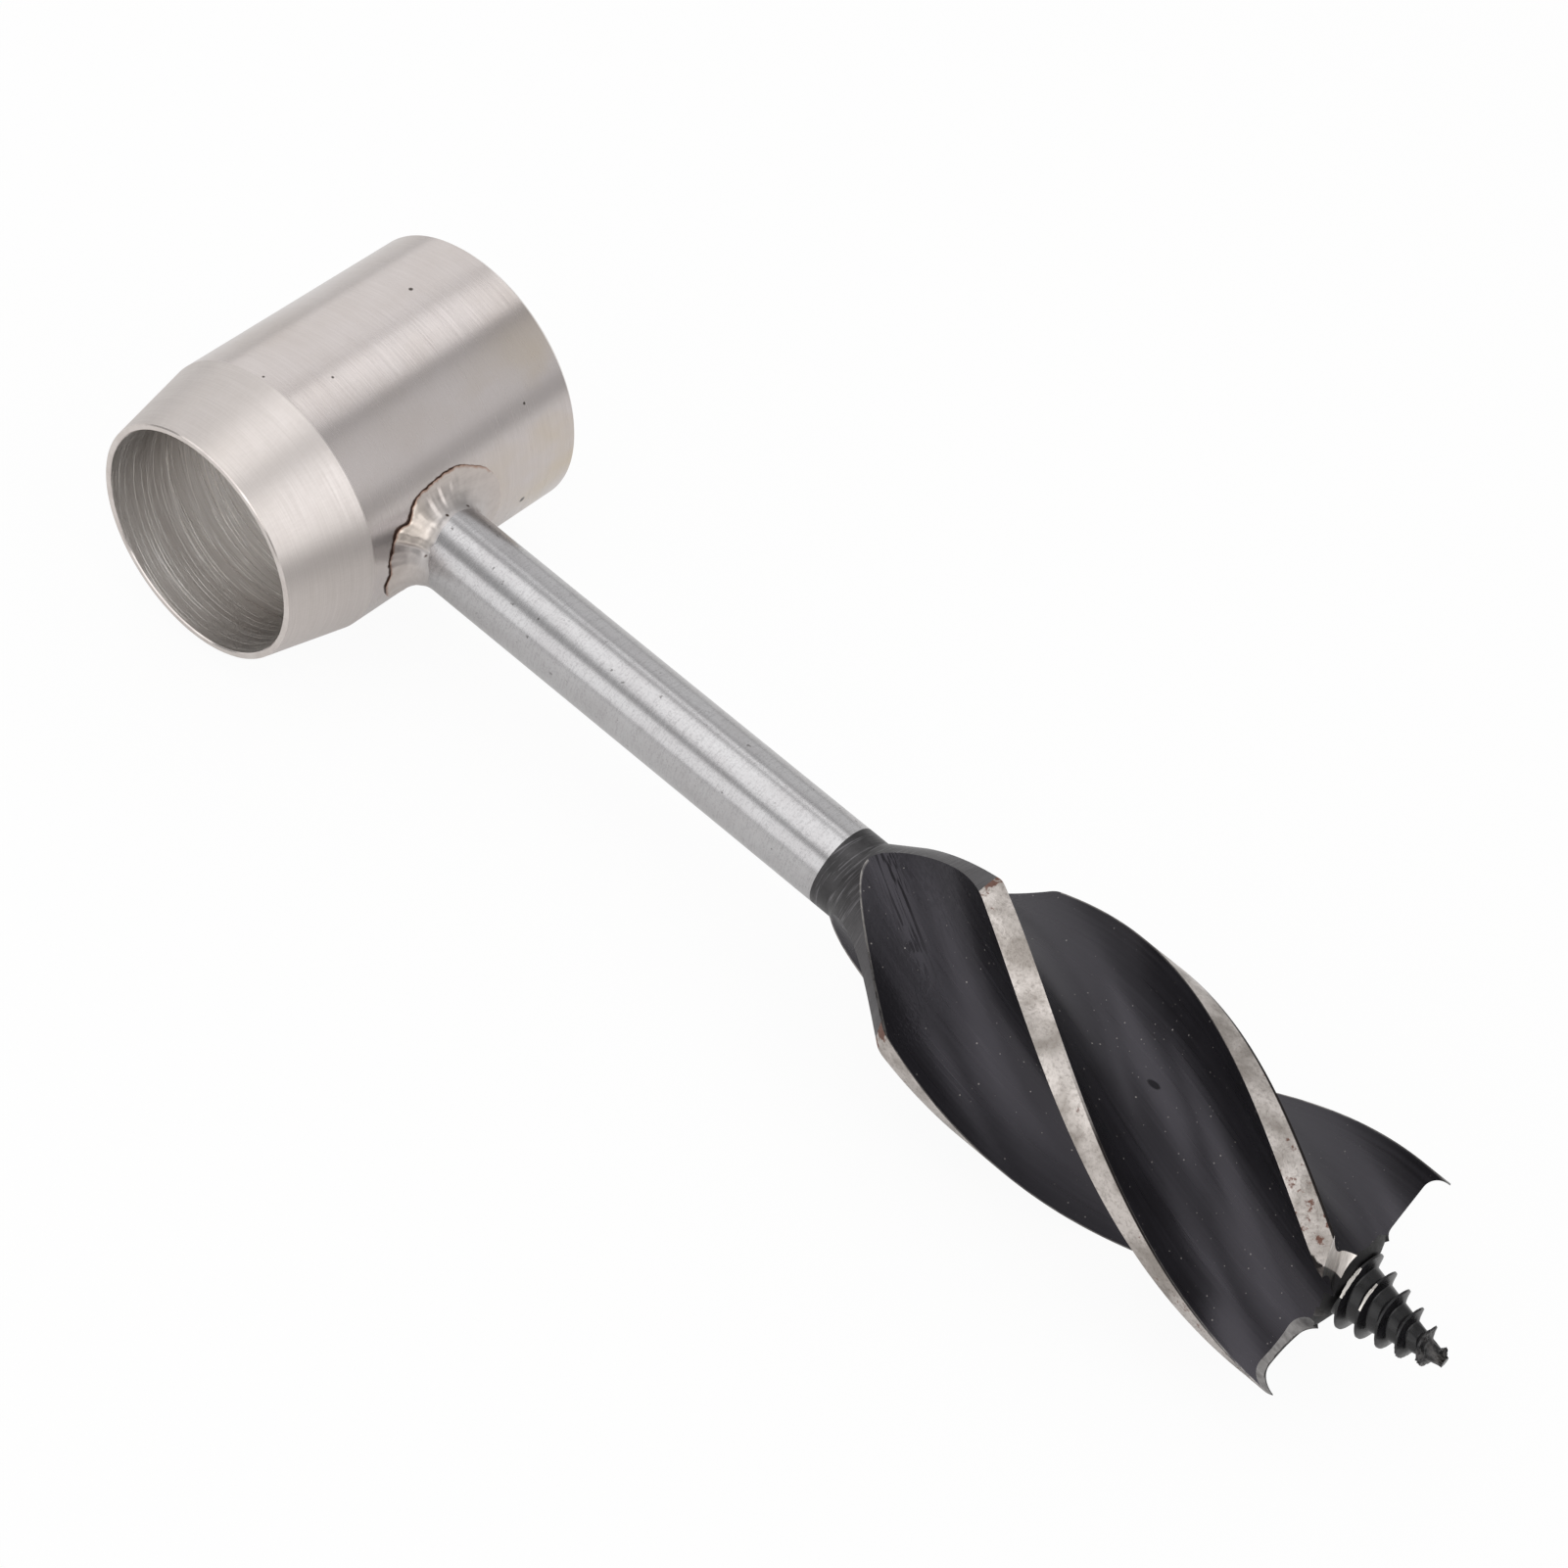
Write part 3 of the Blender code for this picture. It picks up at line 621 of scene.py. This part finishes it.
worn = add(tree, "Math", worn, add(tree, "MapRange", along, *WORN_TO, 1, 0.1), operation="MULTIPLY")
tint = add(tree, "Mix", worn, tint, linear("#7C7A7D"), data_type="RGBA")
lay_on(tree, tint, add(tree, "MapRange", grooves, 0.3, 0.7, 0.32, 0.48), (grooves, 0.5, 0.00008))

# Spur ends hollowed by a wheel: mid grey with the grit's marks, dark at the core, and with a dark
# torn burr at the leading edge.
BURR_EDGE = (-0.00022, -0.00010)
BURR_FRAY = 0.0010
SPUR_CORE = (0.0054, 0.0062)
hollowed, tree = new_finish("wheel_ground_steel", Metallic=1)
point, straight, _, radius = wing_space(tree)
grit = marks(tree, straight, (2, 0.35, 2), 3, 0.6)
gritty = add(tree, "MapRange", grit, 0.35, 0.7)
tint = add(tree, "Mix", gritty, linear("#A19E9D"), linear("#7D7A79"), data_type="RGBA")
flipped = add(tree, "Math", add(tree, "SeparateXYZ", straight).outputs["Y"], operation="SIGN")
one_wing = add(tree, "VectorMath", straight, operation="SCALE")
tree.links.new(flipped.outputs[0], one_wing.inputs["Scale"])
ahead = Vector((0, math.cos(FLUTE_MIDDLE), math.sin(FLUTE_MIDDLE))) * (CORE_RADIUS + FLUTE_RADIUS)
from_flute = add(tree, "VectorMath", one_wing, ahead, operation="SUBTRACT")
from_flute = add(tree, "VectorMath", from_flute, (0, 1, 1), operation="MULTIPLY")
from_flute = add(tree, "VectorMath", from_flute, operation="LENGTH")
inside = add(tree, "Math", from_flute, FLUTE_RADIUS, operation="SUBTRACT")
fraying = marks(tree, point, (0.7, 0.7, 0.7), 3, 0.6)
torn = add(tree, "Math", fraying, -BURR_FRAY, inside, operation="MULTIPLY_ADD")
burr = add(tree, "MapRange", torn, *BURR_EDGE, 1, 0)
burr = add(tree, "Math", burr, add(tree, "MapRange", radius, *SPUR_CORE, 0.9, 0), operation="MAXIMUM")
tint = add(tree, "Mix", burr, tint, linear("#2B2726"), data_type="RGBA")
lay_on(tree, tint, add(tree, "MapRange", grit, 0.3, 0.7, 0.32, 0.46), (grit, 0.4, 0.00008))

# The lips are faced last, so they are the brightest steel on the head, with a brown stain in the middle.
LIP_CORE = (0.0050, 0.0054)
LIP_FRONT = (0.040, 0.050)
faced, tree = new_finish("faced_steel", Metallic=1)
point, straight, _, radius = wing_space(tree)
grit = marks(tree, straight, (2, 2, 0.35), 3, 0.6)
gritty = add(tree, "MapRange", grit, 0.4, 0.7)
tint = add(tree, "Mix", gritty, linear("#D8D2CD"), linear("#B7B0AA"), data_type="RGBA")
stain = add(tree, "MapRange", marks(tree, point, (1.6, 1.6, 1.6), 3, 0.55), 0.52, 0.72, 0, 0.45)
tint = add(tree, "Mix", stain, tint, linear("#86756A"), data_type="RGBA")
# The lip is darker near the core, and its leading part is painted dark: painted shade, where that part of the
# face turns away from the light.
at_core = add(tree, "MapRange", radius, *LIP_CORE, 1, 0)
in_front = add(tree, "MapRange", wing_side(tree, straight), *LIP_FRONT)
dark_core_and_painted_shade = add(tree, "Math", at_core, in_front, operation="MAXIMUM")
tint = add(tree, "Mix", dark_core_and_painted_shade, tint, linear("#2A292A"), data_type="RGBA")
lay_on(tree, tint, add(tree, "MapRange", grit, 0.3, 0.7, 0.30, 0.44), (grit, 0.4, 0.00006))

# The clipped corner of a lip is painted dark: painted shade, where its steep facet turns away from the light.
clip_shade, tree = new_finish("painted_shade_clip_steel", Metallic=1)
grit = marks(tree, tool_space(tree), (0.6, 0.6, 0.6), 3, 0.6)
gritty = add(tree, "MapRange", grit, 0.35, 0.65)
tint = add(tree, "Mix", gritty, linear("#3F3B39"), linear("#6A6461"), data_type="RGBA")
lay_on(tree, tint, add(tree, "MapRange", grit, 0.3, 0.7, 0.35, 0.5), (grit, 0.4, 0.00008))

# The nose round the screw's foot keeps its mill scale: dull and black.
scaled, tree = new_finish("black_mill_scale", **{"Specular IOR Level": 0.25})
grit = marks(tree, tool_space(tree), (0.6, 0.6, 0.6), 3, 0.6)
gritty = add(tree, "MapRange", grit, 0.3, 0.7)
tint = add(tree, "Mix", gritty, linear("#0E0D0E"), linear("#1C1B1C"), data_type="RGBA")
lay_on(tree, tint, add(tree, "MapRange", grit, 0.3, 0.7, 0.5, 0.65), (grit, 0.4, 0.00008))


def wing_turn(number, along):
    """Turn of a wing's middle about X, from +Y. Wings 0 and 2 carry the spurs, 1 and 3 the lips."""
    return SPUR_TURN + number * math.tau / WING_COUNT + TWIST_RATE * (along - SPUR_END)


# One land and one flute are drawn across the bar, carried along it with the twist, and set round it.
wings = bpy.data.node_groups.new("twisted_wings", "GeometryNodeTree")
WING_SIZES = {
    "Bit Radius": BIT_RADIUS,
    "Half Land": HALF_LAND,
    "Core Radius": CORE_RADIUS,
    "Flute Radius": FLUTE_RADIUS,
    "Flute Sweep": FLUTE_SWEEP,
    "Start": NECK,
    "End": BAR_END,
    "Turn At Start": wing_turn(0, NECK),
    "Twist": TWIST_RATE,
    "Wings": WING_COUNT,
    "Stations": HEAD_STATIONS,
}
identifiers = {}
for name, value in WING_SIZES.items():
    kind = "NodeSocketInt" if isinstance(value, int) else "NodeSocketFloat"
    identifiers[name] = wings.interface.new_socket(name=name, in_out="INPUT", socket_type=kind).identifier
wings.interface.new_socket(name="Geometry", in_out="OUTPUT", socket_type="NodeSocketGeometry")
size = add(wings, "NodeGroupInput").outputs

start_point = add(wings, "CombineXYZ", size["Start"])
end_point = add(wings, "CombineXYZ", size["End"])
axis = add(wings, "GeometryNodeCurvePrimitiveLine", start_point, end_point)
axis = add(wings, "GeometryNodeResampleCurve", axis, None, size["Stations"])
axis = add(wings, "GeometryNodeSetCurveNormal", axis, mode="Z_UP")
along = add(wings, "SeparateXYZ", add(wings, "GeometryNodeInputPosition")).outputs["X"]
from_start = add(wings, "Math", along, size["Start"], operation="SUBTRACT")
turn = add(wings, "Math", from_start, size["Twist"], size["Turn At Start"], operation="MULTIPLY_ADD")
axis = add(wings, "GeometryNodeSetCurveTilt", axis, None, turn)

half_back = add(wings, "Math", size["Half Land"], -1.0, operation="MULTIPLY")
whole = add(wings, "Math", size["Half Land"], 2.0, operation="MULTIPLY")
land_arc = add(wings, "GeometryNodeCurveArc", LAND_POINTS, size["Bit Radius"], half_back, whole)
flute_start = add(wings, "Math", size["Flute Sweep"], math.pi + FLUTE_MIDDLE, operation="ADD")
flute_back = add(wings, "Math", size["Flute Sweep"], -2.0, operation="MULTIPLY")
flute_arc = add(wings, "GeometryNodeCurveArc", FLUTE_POINTS, size["Flute Radius"], flute_start, flute_back)
flute_centre = add(wings, "Math", size["Core Radius"], size["Flute Radius"], operation="ADD")
outwards = (math.cos(FLUTE_MIDDLE), math.sin(FLUTE_MIDDLE), 0)
flute_place = add(wings, "VectorMath", outwards, flute_centre, operation="SCALE")
flute_arc = add(wings, "GeometryNodeTransform", flute_arc, flute_place)
section = add(wings, "GeometryNodeJoinGeometry", land_arc)
wings.links.new(flute_arc.outputs[0], section.inputs[0])
strips = add(wings, "GeometryNodeCurveToMesh", axis, section)

each_wing = add(wings, "Math", math.tau, size["Wings"], operation="DIVIDE")
wing_angle = add(wings, "Math", add(wings, "GeometryNodeInputIndex"), each_wing, operation="MULTIPLY")
wing_rotation = add(wings, "CombineXYZ", wing_angle)
seats = add(wings, "GeometryNodePoints", size["Wings"])
around = add(wings, "GeometryNodeInstanceOnPoints", seats, None, strips, None, None, wing_rotation)
bar = add(wings, "GeometryNodeRealizeInstances", around)
bar = add(wings, "GeometryNodeMergeByDistance", bar, None, SEAM)
spot = add(wings, "GeometryNodeInputPosition")
across = add(wings, "VectorMath", spot, (0, 1, 1), operation="MULTIPLY")
reach = add(wings, "VectorMath", across, operation="LENGTH")
rim = add(wings, "Math", size["Bit Radius"], LAND_SLACK, operation="SUBTRACT")
is_land = add(wings, "FunctionNodeCompare", reach, rim, data_type="FLOAT", operation="GREATER_THAN")
bar = add(wings, "GeometryNodeSetMaterial", bar, None, blacked)
bar = add(wings, "GeometryNodeSetMaterial", bar, is_land, land)
add(wings, "NodeGroupOutput", bar)


def settled(obj):
    """The object's mesh with its modifiers carried out."""
    bpy.context.view_layer.update()
    graph = bpy.context.evaluated_depsgraph_get()
    return bpy.data.meshes.new_from_object(obj.evaluated_get(graph))


blank = bpy.data.objects.new("wing_blank", bpy.data.meshes.new("wing_blank"))
bpy.context.scene.collection.objects.link(blank)
sweep = blank.modifiers.new("wings", "NODES")
sweep.node_group = wings
for name, value in WING_SIZES.items():
    sweep[identifiers[name]] = value
mesh = settled(blank)
blank.modifiers.clear()
blank.data = mesh
bm = bmesh.new()
bm.from_mesh(mesh)
bmesh.ops.holes_fill(bm, edges=[edge for edge in bm.edges if edge.is_boundary])
bmesh.ops.recalc_face_normals(bm, faces=bm.faces)
bmesh.ops.triangulate(bm, faces=bm.faces)
bm.to_mesh(mesh)
bm.free()

# Each wheel and lathe tool is a body of waste that leaves its own finish on the steel.
waste = bpy.data.collections.new("waste")
bpy.context.scene.collection.children.link(waste)


def cutter(name, bm, material):
    """Adds a body of waste."""
    bmesh.ops.recalc_face_normals(bm, faces=bm.faces)
    mesh = bpy.data.meshes.new(name)
    bm.to_mesh(mesh)
    bm.free()
    mesh.materials.append(material)
    waste.objects.link(bpy.data.objects.new(name, mesh))


round_centre = Vector((BIT_RADIUS - SHOULDER_ROUND, SHOULDER_END))
cone_foot = Vector((SHANK_RADIUS, CONE_START))
to_foot = cone_foot - round_centre
cone_meets = math.atan2(to_foot.y, to_foot.x) + math.acos(SHOULDER_ROUND / to_foot.length)
rounding = []
for step in range(ROUND_STEPS + 1):
    turn = cone_meets * (1 - step / ROUND_STEPS)
    rounding.append(round_centre + SHOULDER_ROUND * Vector((math.cos(turn), math.sin(turn))))
shoulder_profile = [
    (BIT_RADIUS + CUT_PAST, SHOULDER_END + CUT_PAST),
    (BIT_RADIUS + CUT_PAST, NECK - CUT_PAST),
    (SHANK_RADIUS, NECK - CUT_PAST),
    *(cone_foot.lerp(rounding[0], step / CONE_STEPS) for step in range(CONE_STEPS)),
    *rounding,
    (BIT_RADIUS + CUT_PAST / 2, SHOULDER_END + CUT_PAST),
]
cutter("shoulder_waste", turned(shoulder_profile, Vector((1, 0, 0)), SHOULDER_SEGMENTS), shoulder)


def wing_place(number, along):
    """Axes at a wing's middle: X outwards, Y the way the bit turns, Z to the tip."""
    turn = wing_turn(number, along)
    outwards = Vector((0, math.cos(turn), math.sin(turn)))
    onwards = Vector((0, -math.sin(turn), math.cos(turn)))
    place = Matrix((outwards, onwards, Vector((1, 0, 0)))).transposed().to_4x4()
    place.translation = (along, 0, 0)
    return place


def block(size, place):
    """A block that stands on the XY plane of its place."""
    bm = bmesh.new()
    bmesh.ops.create_cube(bm, size=1, matrix=Matrix.Translation((0, 0, 0.5)))
    bm.transform(place @ Matrix.Diagonal((*size, 1)))
    return bm


def wheel_rim(half_width, corner, depth, place):
    """A wheel's rim across X of its place, with round corners, down to the XY plane from a depth above it."""
    half = []
    steepest = math.acos(max(1 - depth / corner, 0))
    for step in range(CORNER_STEPS + 1):
        turn = steepest * step / CORNER_STEPS
        half.append((half_width - corner * (1 - math.sin(turn)), corner * (1 - math.cos(turn))))
    wide = half_width + CUT_PAST
    half += [(half_width, depth), (wide, depth), (wide, WHEEL_HEIGHT)]
    outline = half + [(-across, up) for across, up in reversed(half)]
    bm = bmesh.new()
    ends = []
    for along in (-WHEEL_PASS, WHEEL_PASS):
        ends.append([bm.verts.new((across, along, up)) for across, up in outline])
        bm.faces.new(ends[-1])
    for here in range(len(outline)):
        bm.faces.new((ends[0][here - 1], ends[0][here], ends[1][here], ends[1][here - 1]))
    bm.transform(place)
    return bm


for number, (spur_end, depth, corner) in SPUR_HOLLOWS.items():
    place = wing_place(number, spur_end) @ Matrix.Translation((WHEEL_INNER + SPUR_WHEEL, 0, -depth))
    place @= Matrix.Rotation(SPUR_RELIEF, 4, "X")
    cutter(f"spur_wheel_{number}", wheel_rim(SPUR_WHEEL, corner, depth, place), hollowed)
leading_corner = Vector((BIT_RADIUS * math.cos(HALF_LAND), BIT_RADIUS * math.sin(HALF_LAND), 0))
for number in LIP_WINGS:
    end = wing_place(number, SPUR_END - LIP_SETBACK) @ Matrix.Translation(leading_corner)
    inwards = Matrix.Translation((WHEEL_INNER + LIP_WHEEL - BIT_RADIUS, 0, 0))
    place = end @ Matrix.Rotation(LIP_RELIEF, 4, "X") @ inwards
    cutter(f"lip_wheel_{number}", wheel_rim(LIP_WHEEL, LIP_CORNER, LIP_CORNER, place), faced)
    slant = CLIP_SLANT.to_track_quat("Z", "Y").to_matrix().to_4x4()
    place = end @ (Matrix.Translation(-LIP_CLIP * CLIP_SLANT) @ slant)
    cutter(f"corner_wheel_{number}", block([BIT_RADIUS / 2] * 3, place), clip_shade)
nose_profile = [
    (0, NOSE_END),
    (NOSE_TIP, NOSE_END),
    (NOSE_RADIUS, NOSE_FOOT),
    (NOSE_RADIUS + 2 * CUT_PAST, NOSE_END + 2 * CUT_PAST),
    (0, NOSE_END + 2 * CUT_PAST),
]
cutter("nose_waste", turned(nose_profile, Vector((1, 0, 0)), SHANK_SEGMENTS), scaled)

cuts = blank.modifiers.new("wheels", "BOOLEAN")
cuts.operation = "DIFFERENCE"
cuts.operand_type = "COLLECTION"
cuts.collection = waste
cuts.solver = "EXACT"
cuts.material_mode = "TRANSFER"
mesh = settled(blank)
for obj in [blank, *waste.objects]:
    bpy.data.objects.remove(obj)
bpy.data.collections.remove(waste)
finishes = list(mesh.materials)
bm = bmesh.new()
bm.from_mesh(mesh)
bmesh.ops.dissolve_degenerate(bm, edges=bm.edges, dist=MERGE)
# The lands were ground a little way back over the shoulder's rounding.
for face in bm.faces:
    if finishes[face.material_index] == shoulder and face.calc_center_median().x > GROUND_FROM:
        face.material_index = finishes.index(land)
fluted_head = piece("fluted_head_blacked", bm, finishes, HEAD_SHARP)
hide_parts("fluted_head")


# Lead screw
# A tapered wood screw turned on the end of the bar, which draws the bit into the wood.
# It is blacked like the flutes, rubbed bright on its first crests, and blunt and torn at its tip.
SCREW_START = 0.1310
SCREW_END = 0.1423
TAPER_FROM = 0.1315
SCREW_ROOT = 0.00305
SCREW_BENT = Vector((0, -0.0002, -0.00015))
SCREW_TIP = 0.0005
THREAD_DEPTH = 0.00102
THREAD_PITCH = 0.00195
THREAD_FOOT = 0.48
THREAD_CREST = 0.10
THREAD_FADE = 7
CREST_AT = 0.1343
CREST_TURN = math.radians(115)
RUBBED_TO = 0.1362
RUBBED_TURN = math.radians(122)
RUBBED_SHARE = 90
RUBBED_NARROW = 9
FULL_CREST = 0.99
RUBBED_BELOW = 0.98
WANDER = 0.00055
WANDER_RISE = THREAD_PITCH / 2
WANDER_FADE = 8
THREAD_SEGMENTS = 72
FLANK_HOLLOW = 1.5
FLANK_STEPS = 8
ROOT_STEPS = 4
CREST_STEPS = 3
TORN = 0.00050
TORN_SIZE = 0.0007
TORN_AT_ROOT = 0.25
TORN_FADE = 4
TORN_GREY = (0.1390, 0.1412)
SCREW_SHARP = math.radians(40)
SCREW_LENGTH = SCREW_END - SCREW_START

# Black oxide on a cut thread: blacker and glossier than the flutes, with bright steel where the first two
# crests were rubbed, and grey torn steel at the tip.
thread_black, tree = new_finish("black_oxide_thread", **{"Specular IOR Level": 0.45})
point = tool_space(tree)
along = add(tree, "SeparateXYZ", point).outputs["X"]
crest = add(tree, "Attribute", attribute_name="crest").outputs["Fac"]
grain = marks(tree, point, (0.8, 0.8, 0.8), 3, 0.6)
bright = add(tree, "MapRange", crest, 0.4, 0.6)
cloudy = add(tree, "MapRange", grain, 0.3, 0.7)
tint = add(tree, "Mix", cloudy, linear("#101011"), linear("#1B1A1D"), data_type="RGBA")
torn = add(tree, "MapRange", along, *TORN_GREY, 0, 0.8)
torn = add(tree, "Math", torn, add(tree, "MapRange", grain, 0.45, 0.6), operation="MULTIPLY")
tint = add(tree, "Mix", torn, tint, linear("#5A5755"), data_type="RGBA")
tint = add(tree, "Mix", bright, tint, linear("#D8D3CD"), data_type="RGBA")
lay_on(tree, tint, add(tree, "MapRange", grain, 0.3, 0.7, 0.22, 0.36), (grain, 0.12, 0.00004), bright)


def screw_radius(share, along):
    """Radius at a place along the screw, from the root (share 0) to the crest (share 1)."""
    part = min(max((along - TAPER_FROM) / (SCREW_END - TAPER_FROM), 0), 1)
    root = SCREW_ROOT + (SCREW_TIP - SCREW_ROOT) * part
    return root + share * THREAD_DEPTH * (1 - part**THREAD_FADE)


# One pitch of the thread as (share of the thread's depth, place along the pitch), crest in the middle.
flank = (THREAD_FOOT - THREAD_CREST) / 2
rising = []
for step in range(FLANK_STEPS):
    t = step / FLANK_STEPS
    rising.append((t**FLANK_HOLLOW, (1 - THREAD_FOOT) / 2 + flank * t))
top = [(1, (1 - THREAD_CREST) / 2 + THREAD_CREST * step / CREST_STEPS) for step in range(CREST_STEPS + 1)]
falling = [(share, 1 - place) for share, place in reversed(rising)]
foot = [(0, (1 - THREAD_FOOT) / 2 * step / ROOT_STEPS) for step in range(ROOT_STEPS)]
one_pitch = foot + rising + top + falling + [(share, 1 - place) for share, place in reversed(foot)]
turns = math.ceil(SCREW_LENGTH / THREAD_PITCH) + 2
bm = bmesh.new()
profile = [bm.verts.new((place * THREAD_PITCH, -1 - share, 0)) for share, place in one_pitch]
edges = [bm.edges.new(pair) for pair in zip(profile, profile[1:])]
bmesh.ops.spin(
    bm,
    geom=profile + edges,
    axis=(1, 0, 0),
    cent=(0, 0, 0),
    dvec=(THREAD_PITCH / THREAD_SEGMENTS, 0, 0),
    angle=turns * math.tau,
    steps=turns * THREAD_SEGMENTS,
)
bmesh.ops.remove_doubles(bm, verts=bm.verts, dist=SEAM)
# The spin starts at half a turn, with a crest half a pitch on. The thread is slid to its place.
crest_now = THREAD_PITCH * (0.5 + (CREST_TURN - math.pi) / math.tau)
pitches_back = math.ceil((CREST_AT - SCREW_START) / THREAD_PITCH) + 1
bm.transform(Matrix.Translation((CREST_AT - crest_now - pitches_back * THREAD_PITCH, 0, 0)))
for height, keep in ((SCREW_START, 1), (SCREW_END, -1)):
    everything = bm.verts[:] + bm.edges[:] + bm.faces[:]
    end, inwards = (height, 0, 0), (keep, 0, 0)
    bmesh.ops.bisect_plane(bm, geom=everything, plane_co=end, plane_no=inwards, clear_inner=True)
# Each point takes its radius from the taper. On one side the first crests are rubbed off, and the thread
# wanders back a little. The tip is torn, and the whole screw sits bent.
crest_layer = bm.verts.layers.float.new("crest")
for vert in bm.verts:
    reach = math.hypot(vert.co.y, vert.co.z)
    share = reach - 1
    part = (vert.co.x - SCREW_START) / SCREW_LENGTH
    place = Vector((vert.co.x, vert.co.y * SCREW_ROOT, vert.co.z * SCREW_ROOT))
    rough = TORN * noise.noise(place / TORN_SIZE) * (TORN_AT_ROOT + share) * part**TORN_FADE
    turn = math.atan2(vert.co.z, vert.co.y) - RUBBED_TURN
    facing = max(math.cos(turn) * RUBBED_NARROW - (RUBBED_NARROW - 1), 0)
    rubbed_to = FULL_CREST - RUBBED_SHARE * (RUBBED_TO - vert.co.x) * facing
    if rubbed_to < RUBBED_BELOW and share > rubbed_to:
        share = rubbed_to
        vert[crest_layer] = 1
    radius = max(screw_radius(share, vert.co.x) + rough, SCREW_TIP / 2)
    vert.co.y *= radius / reach
    vert.co.z *= radius / reach
    inside = min(max((vert.co.x - SCREW_START) / WANDER_RISE, 0), 1) * (1 - part**WANDER_FADE)
    vert.co.x -= WANDER * inside * max(math.cos(turn), 0) ** 2
    vert.co += SCREW_BENT
bmesh.ops.holes_fill(bm, edges=[edge for edge in bm.edges if edge.is_boundary])
lead_screw = piece("lead_screw_blacked", bm, (thread_black,), SCREW_SHARP)
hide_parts("lead_screw")


# Studio
# The tool lies on white paper in a bright room, under a top softbox, with others in front, behind, right
# and left. The paper shows white to the camera, with a faint shadow, and greyer in what the metal mirrors.
FLOOR_HALF = 3.0
FLOOR_DROP = 0.0001
AMBIENT = 0.45
FLOOR_GLOW = 0.94
MIRRORED_GLOW = 0.28

paper, tree = new_finish("white_paper", Roughness=0.9)
shader = tree.nodes["Principled BSDF"]
shader.inputs["Base Color"].default_value = linear("#F4F3F2")
path = add(tree, "LightPath").outputs
straight_on = add(tree, "Math", path["Is Camera Ray"], path["Is Transmission Ray"], operation="MAXIMUM")
straight_on = add(tree, "Math", straight_on, FLOOR_GLOW, operation="MULTIPLY")
mirrored = add(tree, "Math", path["Is Glossy Ray"], MIRRORED_GLOW, operation="MULTIPLY")
share = add(tree, "Math", straight_on, mirrored, operation="MAXIMUM")
glow = add(tree, "Emission", (1, 1, 1, 1), 1.0)
seen = add(tree, "MixShader", share, shader, glow)
tree.links.new(seen.outputs[0], tree.nodes["Material Output"].inputs["Surface"])
bm = bmesh.new()
bmesh.ops.create_grid(bm, x_segments=1, y_segments=1, size=FLOOR_HALF)
mesh = bpy.data.meshes.new("floor")
bm.to_mesh(mesh)
bm.free()
mesh.materials.append(paper)
floor = bpy.data.objects.new("floor", mesh)
floor.location.z = -FLOOR_DROP
bpy.context.scene.collection.objects.link(floor)

world = bpy.data.worlds.new("studio")
world.use_nodes = True
background = world.node_tree.nodes["Background"]
background.inputs["Color"].default_value = (1, 1, 1, 1)
background.inputs["Strength"].default_value = AMBIENT
bpy.context.scene.world = world

# Softboxes as (name, place, width, height, brightness). Brightness 1 takes SOFTBOX_POWER watts a square
# metre. The top one hangs low.
SOFTBOX_POWER = 4
SOFTBOXES = (
    ("top_softbox", (-0.075, -0.037, 0.27), 0.25, 0.185, 0.88),
    ("back_softbox", (-0.115, 0.39, 0.60), 0.37, 0.14, 0.90),
    ("wall_softbox", (-0.374, 0.866, 0.392), 0.55, 0.64, 0.32),
    ("front_softbox", (-0.20, -0.90, 0.36), 1.50, 0.60, 0.75),
    ("camera_softbox", (0.25, -0.62, 0.62), 0.50, 0.45, 0.65),
    ("right_softbox", (0.80, 0.09, 0.60), 0.60, 1.15, 0.98),
    ("corner_softbox", (0.60, 0.53, 0.56), 0.60, 0.70, 0.20),
    ("left_softbox", (-0.82, 0.405, 0.495), 0.75, 0.96, 0.50),
)
for name, place, width, height, brightness in SOFTBOXES:
    lamp = bpy.data.lights.new(name, "AREA")
    lamp.shape = "RECTANGLE"
    lamp.size = width
    lamp.size_y = height
    lamp.energy = SOFTBOX_POWER * width * height * brightness
    softbox = bpy.data.objects.new(name, lamp)
    softbox.location = place
    softbox.rotation_euler = Vector(place).to_track_quat("Z", "Y").to_euler()
    softbox.visible_camera = False
    bpy.context.scene.collection.objects.link(softbox)

# Camera: a long lens that looks down on the tool from the mouth's side, rolled a little.
AZIMUTH = math.radians(32.15)
ELEVATION = math.radians(49.58)
ROLL = math.radians(13.56)
DISTANCE = 0.4331
AIM = Vector((0.060, 0, 0))
SLIDE_RIGHT = 0.000968
SLIDE_UP = 0.00253
LENS = 104.45
SENSOR = 36
NEAREST = 0.01

flat = math.cos(ELEVATION)
back = Vector((math.sin(AZIMUTH) * flat, -math.cos(AZIMUTH) * flat, math.sin(ELEVATION)))
level = Vector((math.cos(AZIMUTH), math.sin(AZIMUTH), 0))
upright = back.cross(level)
right = math.cos(ROLL) * level + math.sin(ROLL) * upright
up = math.cos(ROLL) * upright - math.sin(ROLL) * level
stand = Matrix((right, up, back)).transposed().to_4x4()
stand.translation = AIM + DISTANCE * back + SLIDE_RIGHT * right + SLIDE_UP * up
camera_data = bpy.data.cameras.new("camera")
camera_data.sensor_width = SENSOR
camera_data.lens = LENS
camera_data.clip_start = NEAREST
camera = bpy.data.objects.new("camera", camera_data)
camera.matrix_world = TOOL @ stand
bpy.context.scene.collection.objects.link(camera)
bpy.context.scene.camera = camera
bpy.context.scene.view_settings.view_transform = "Standard"
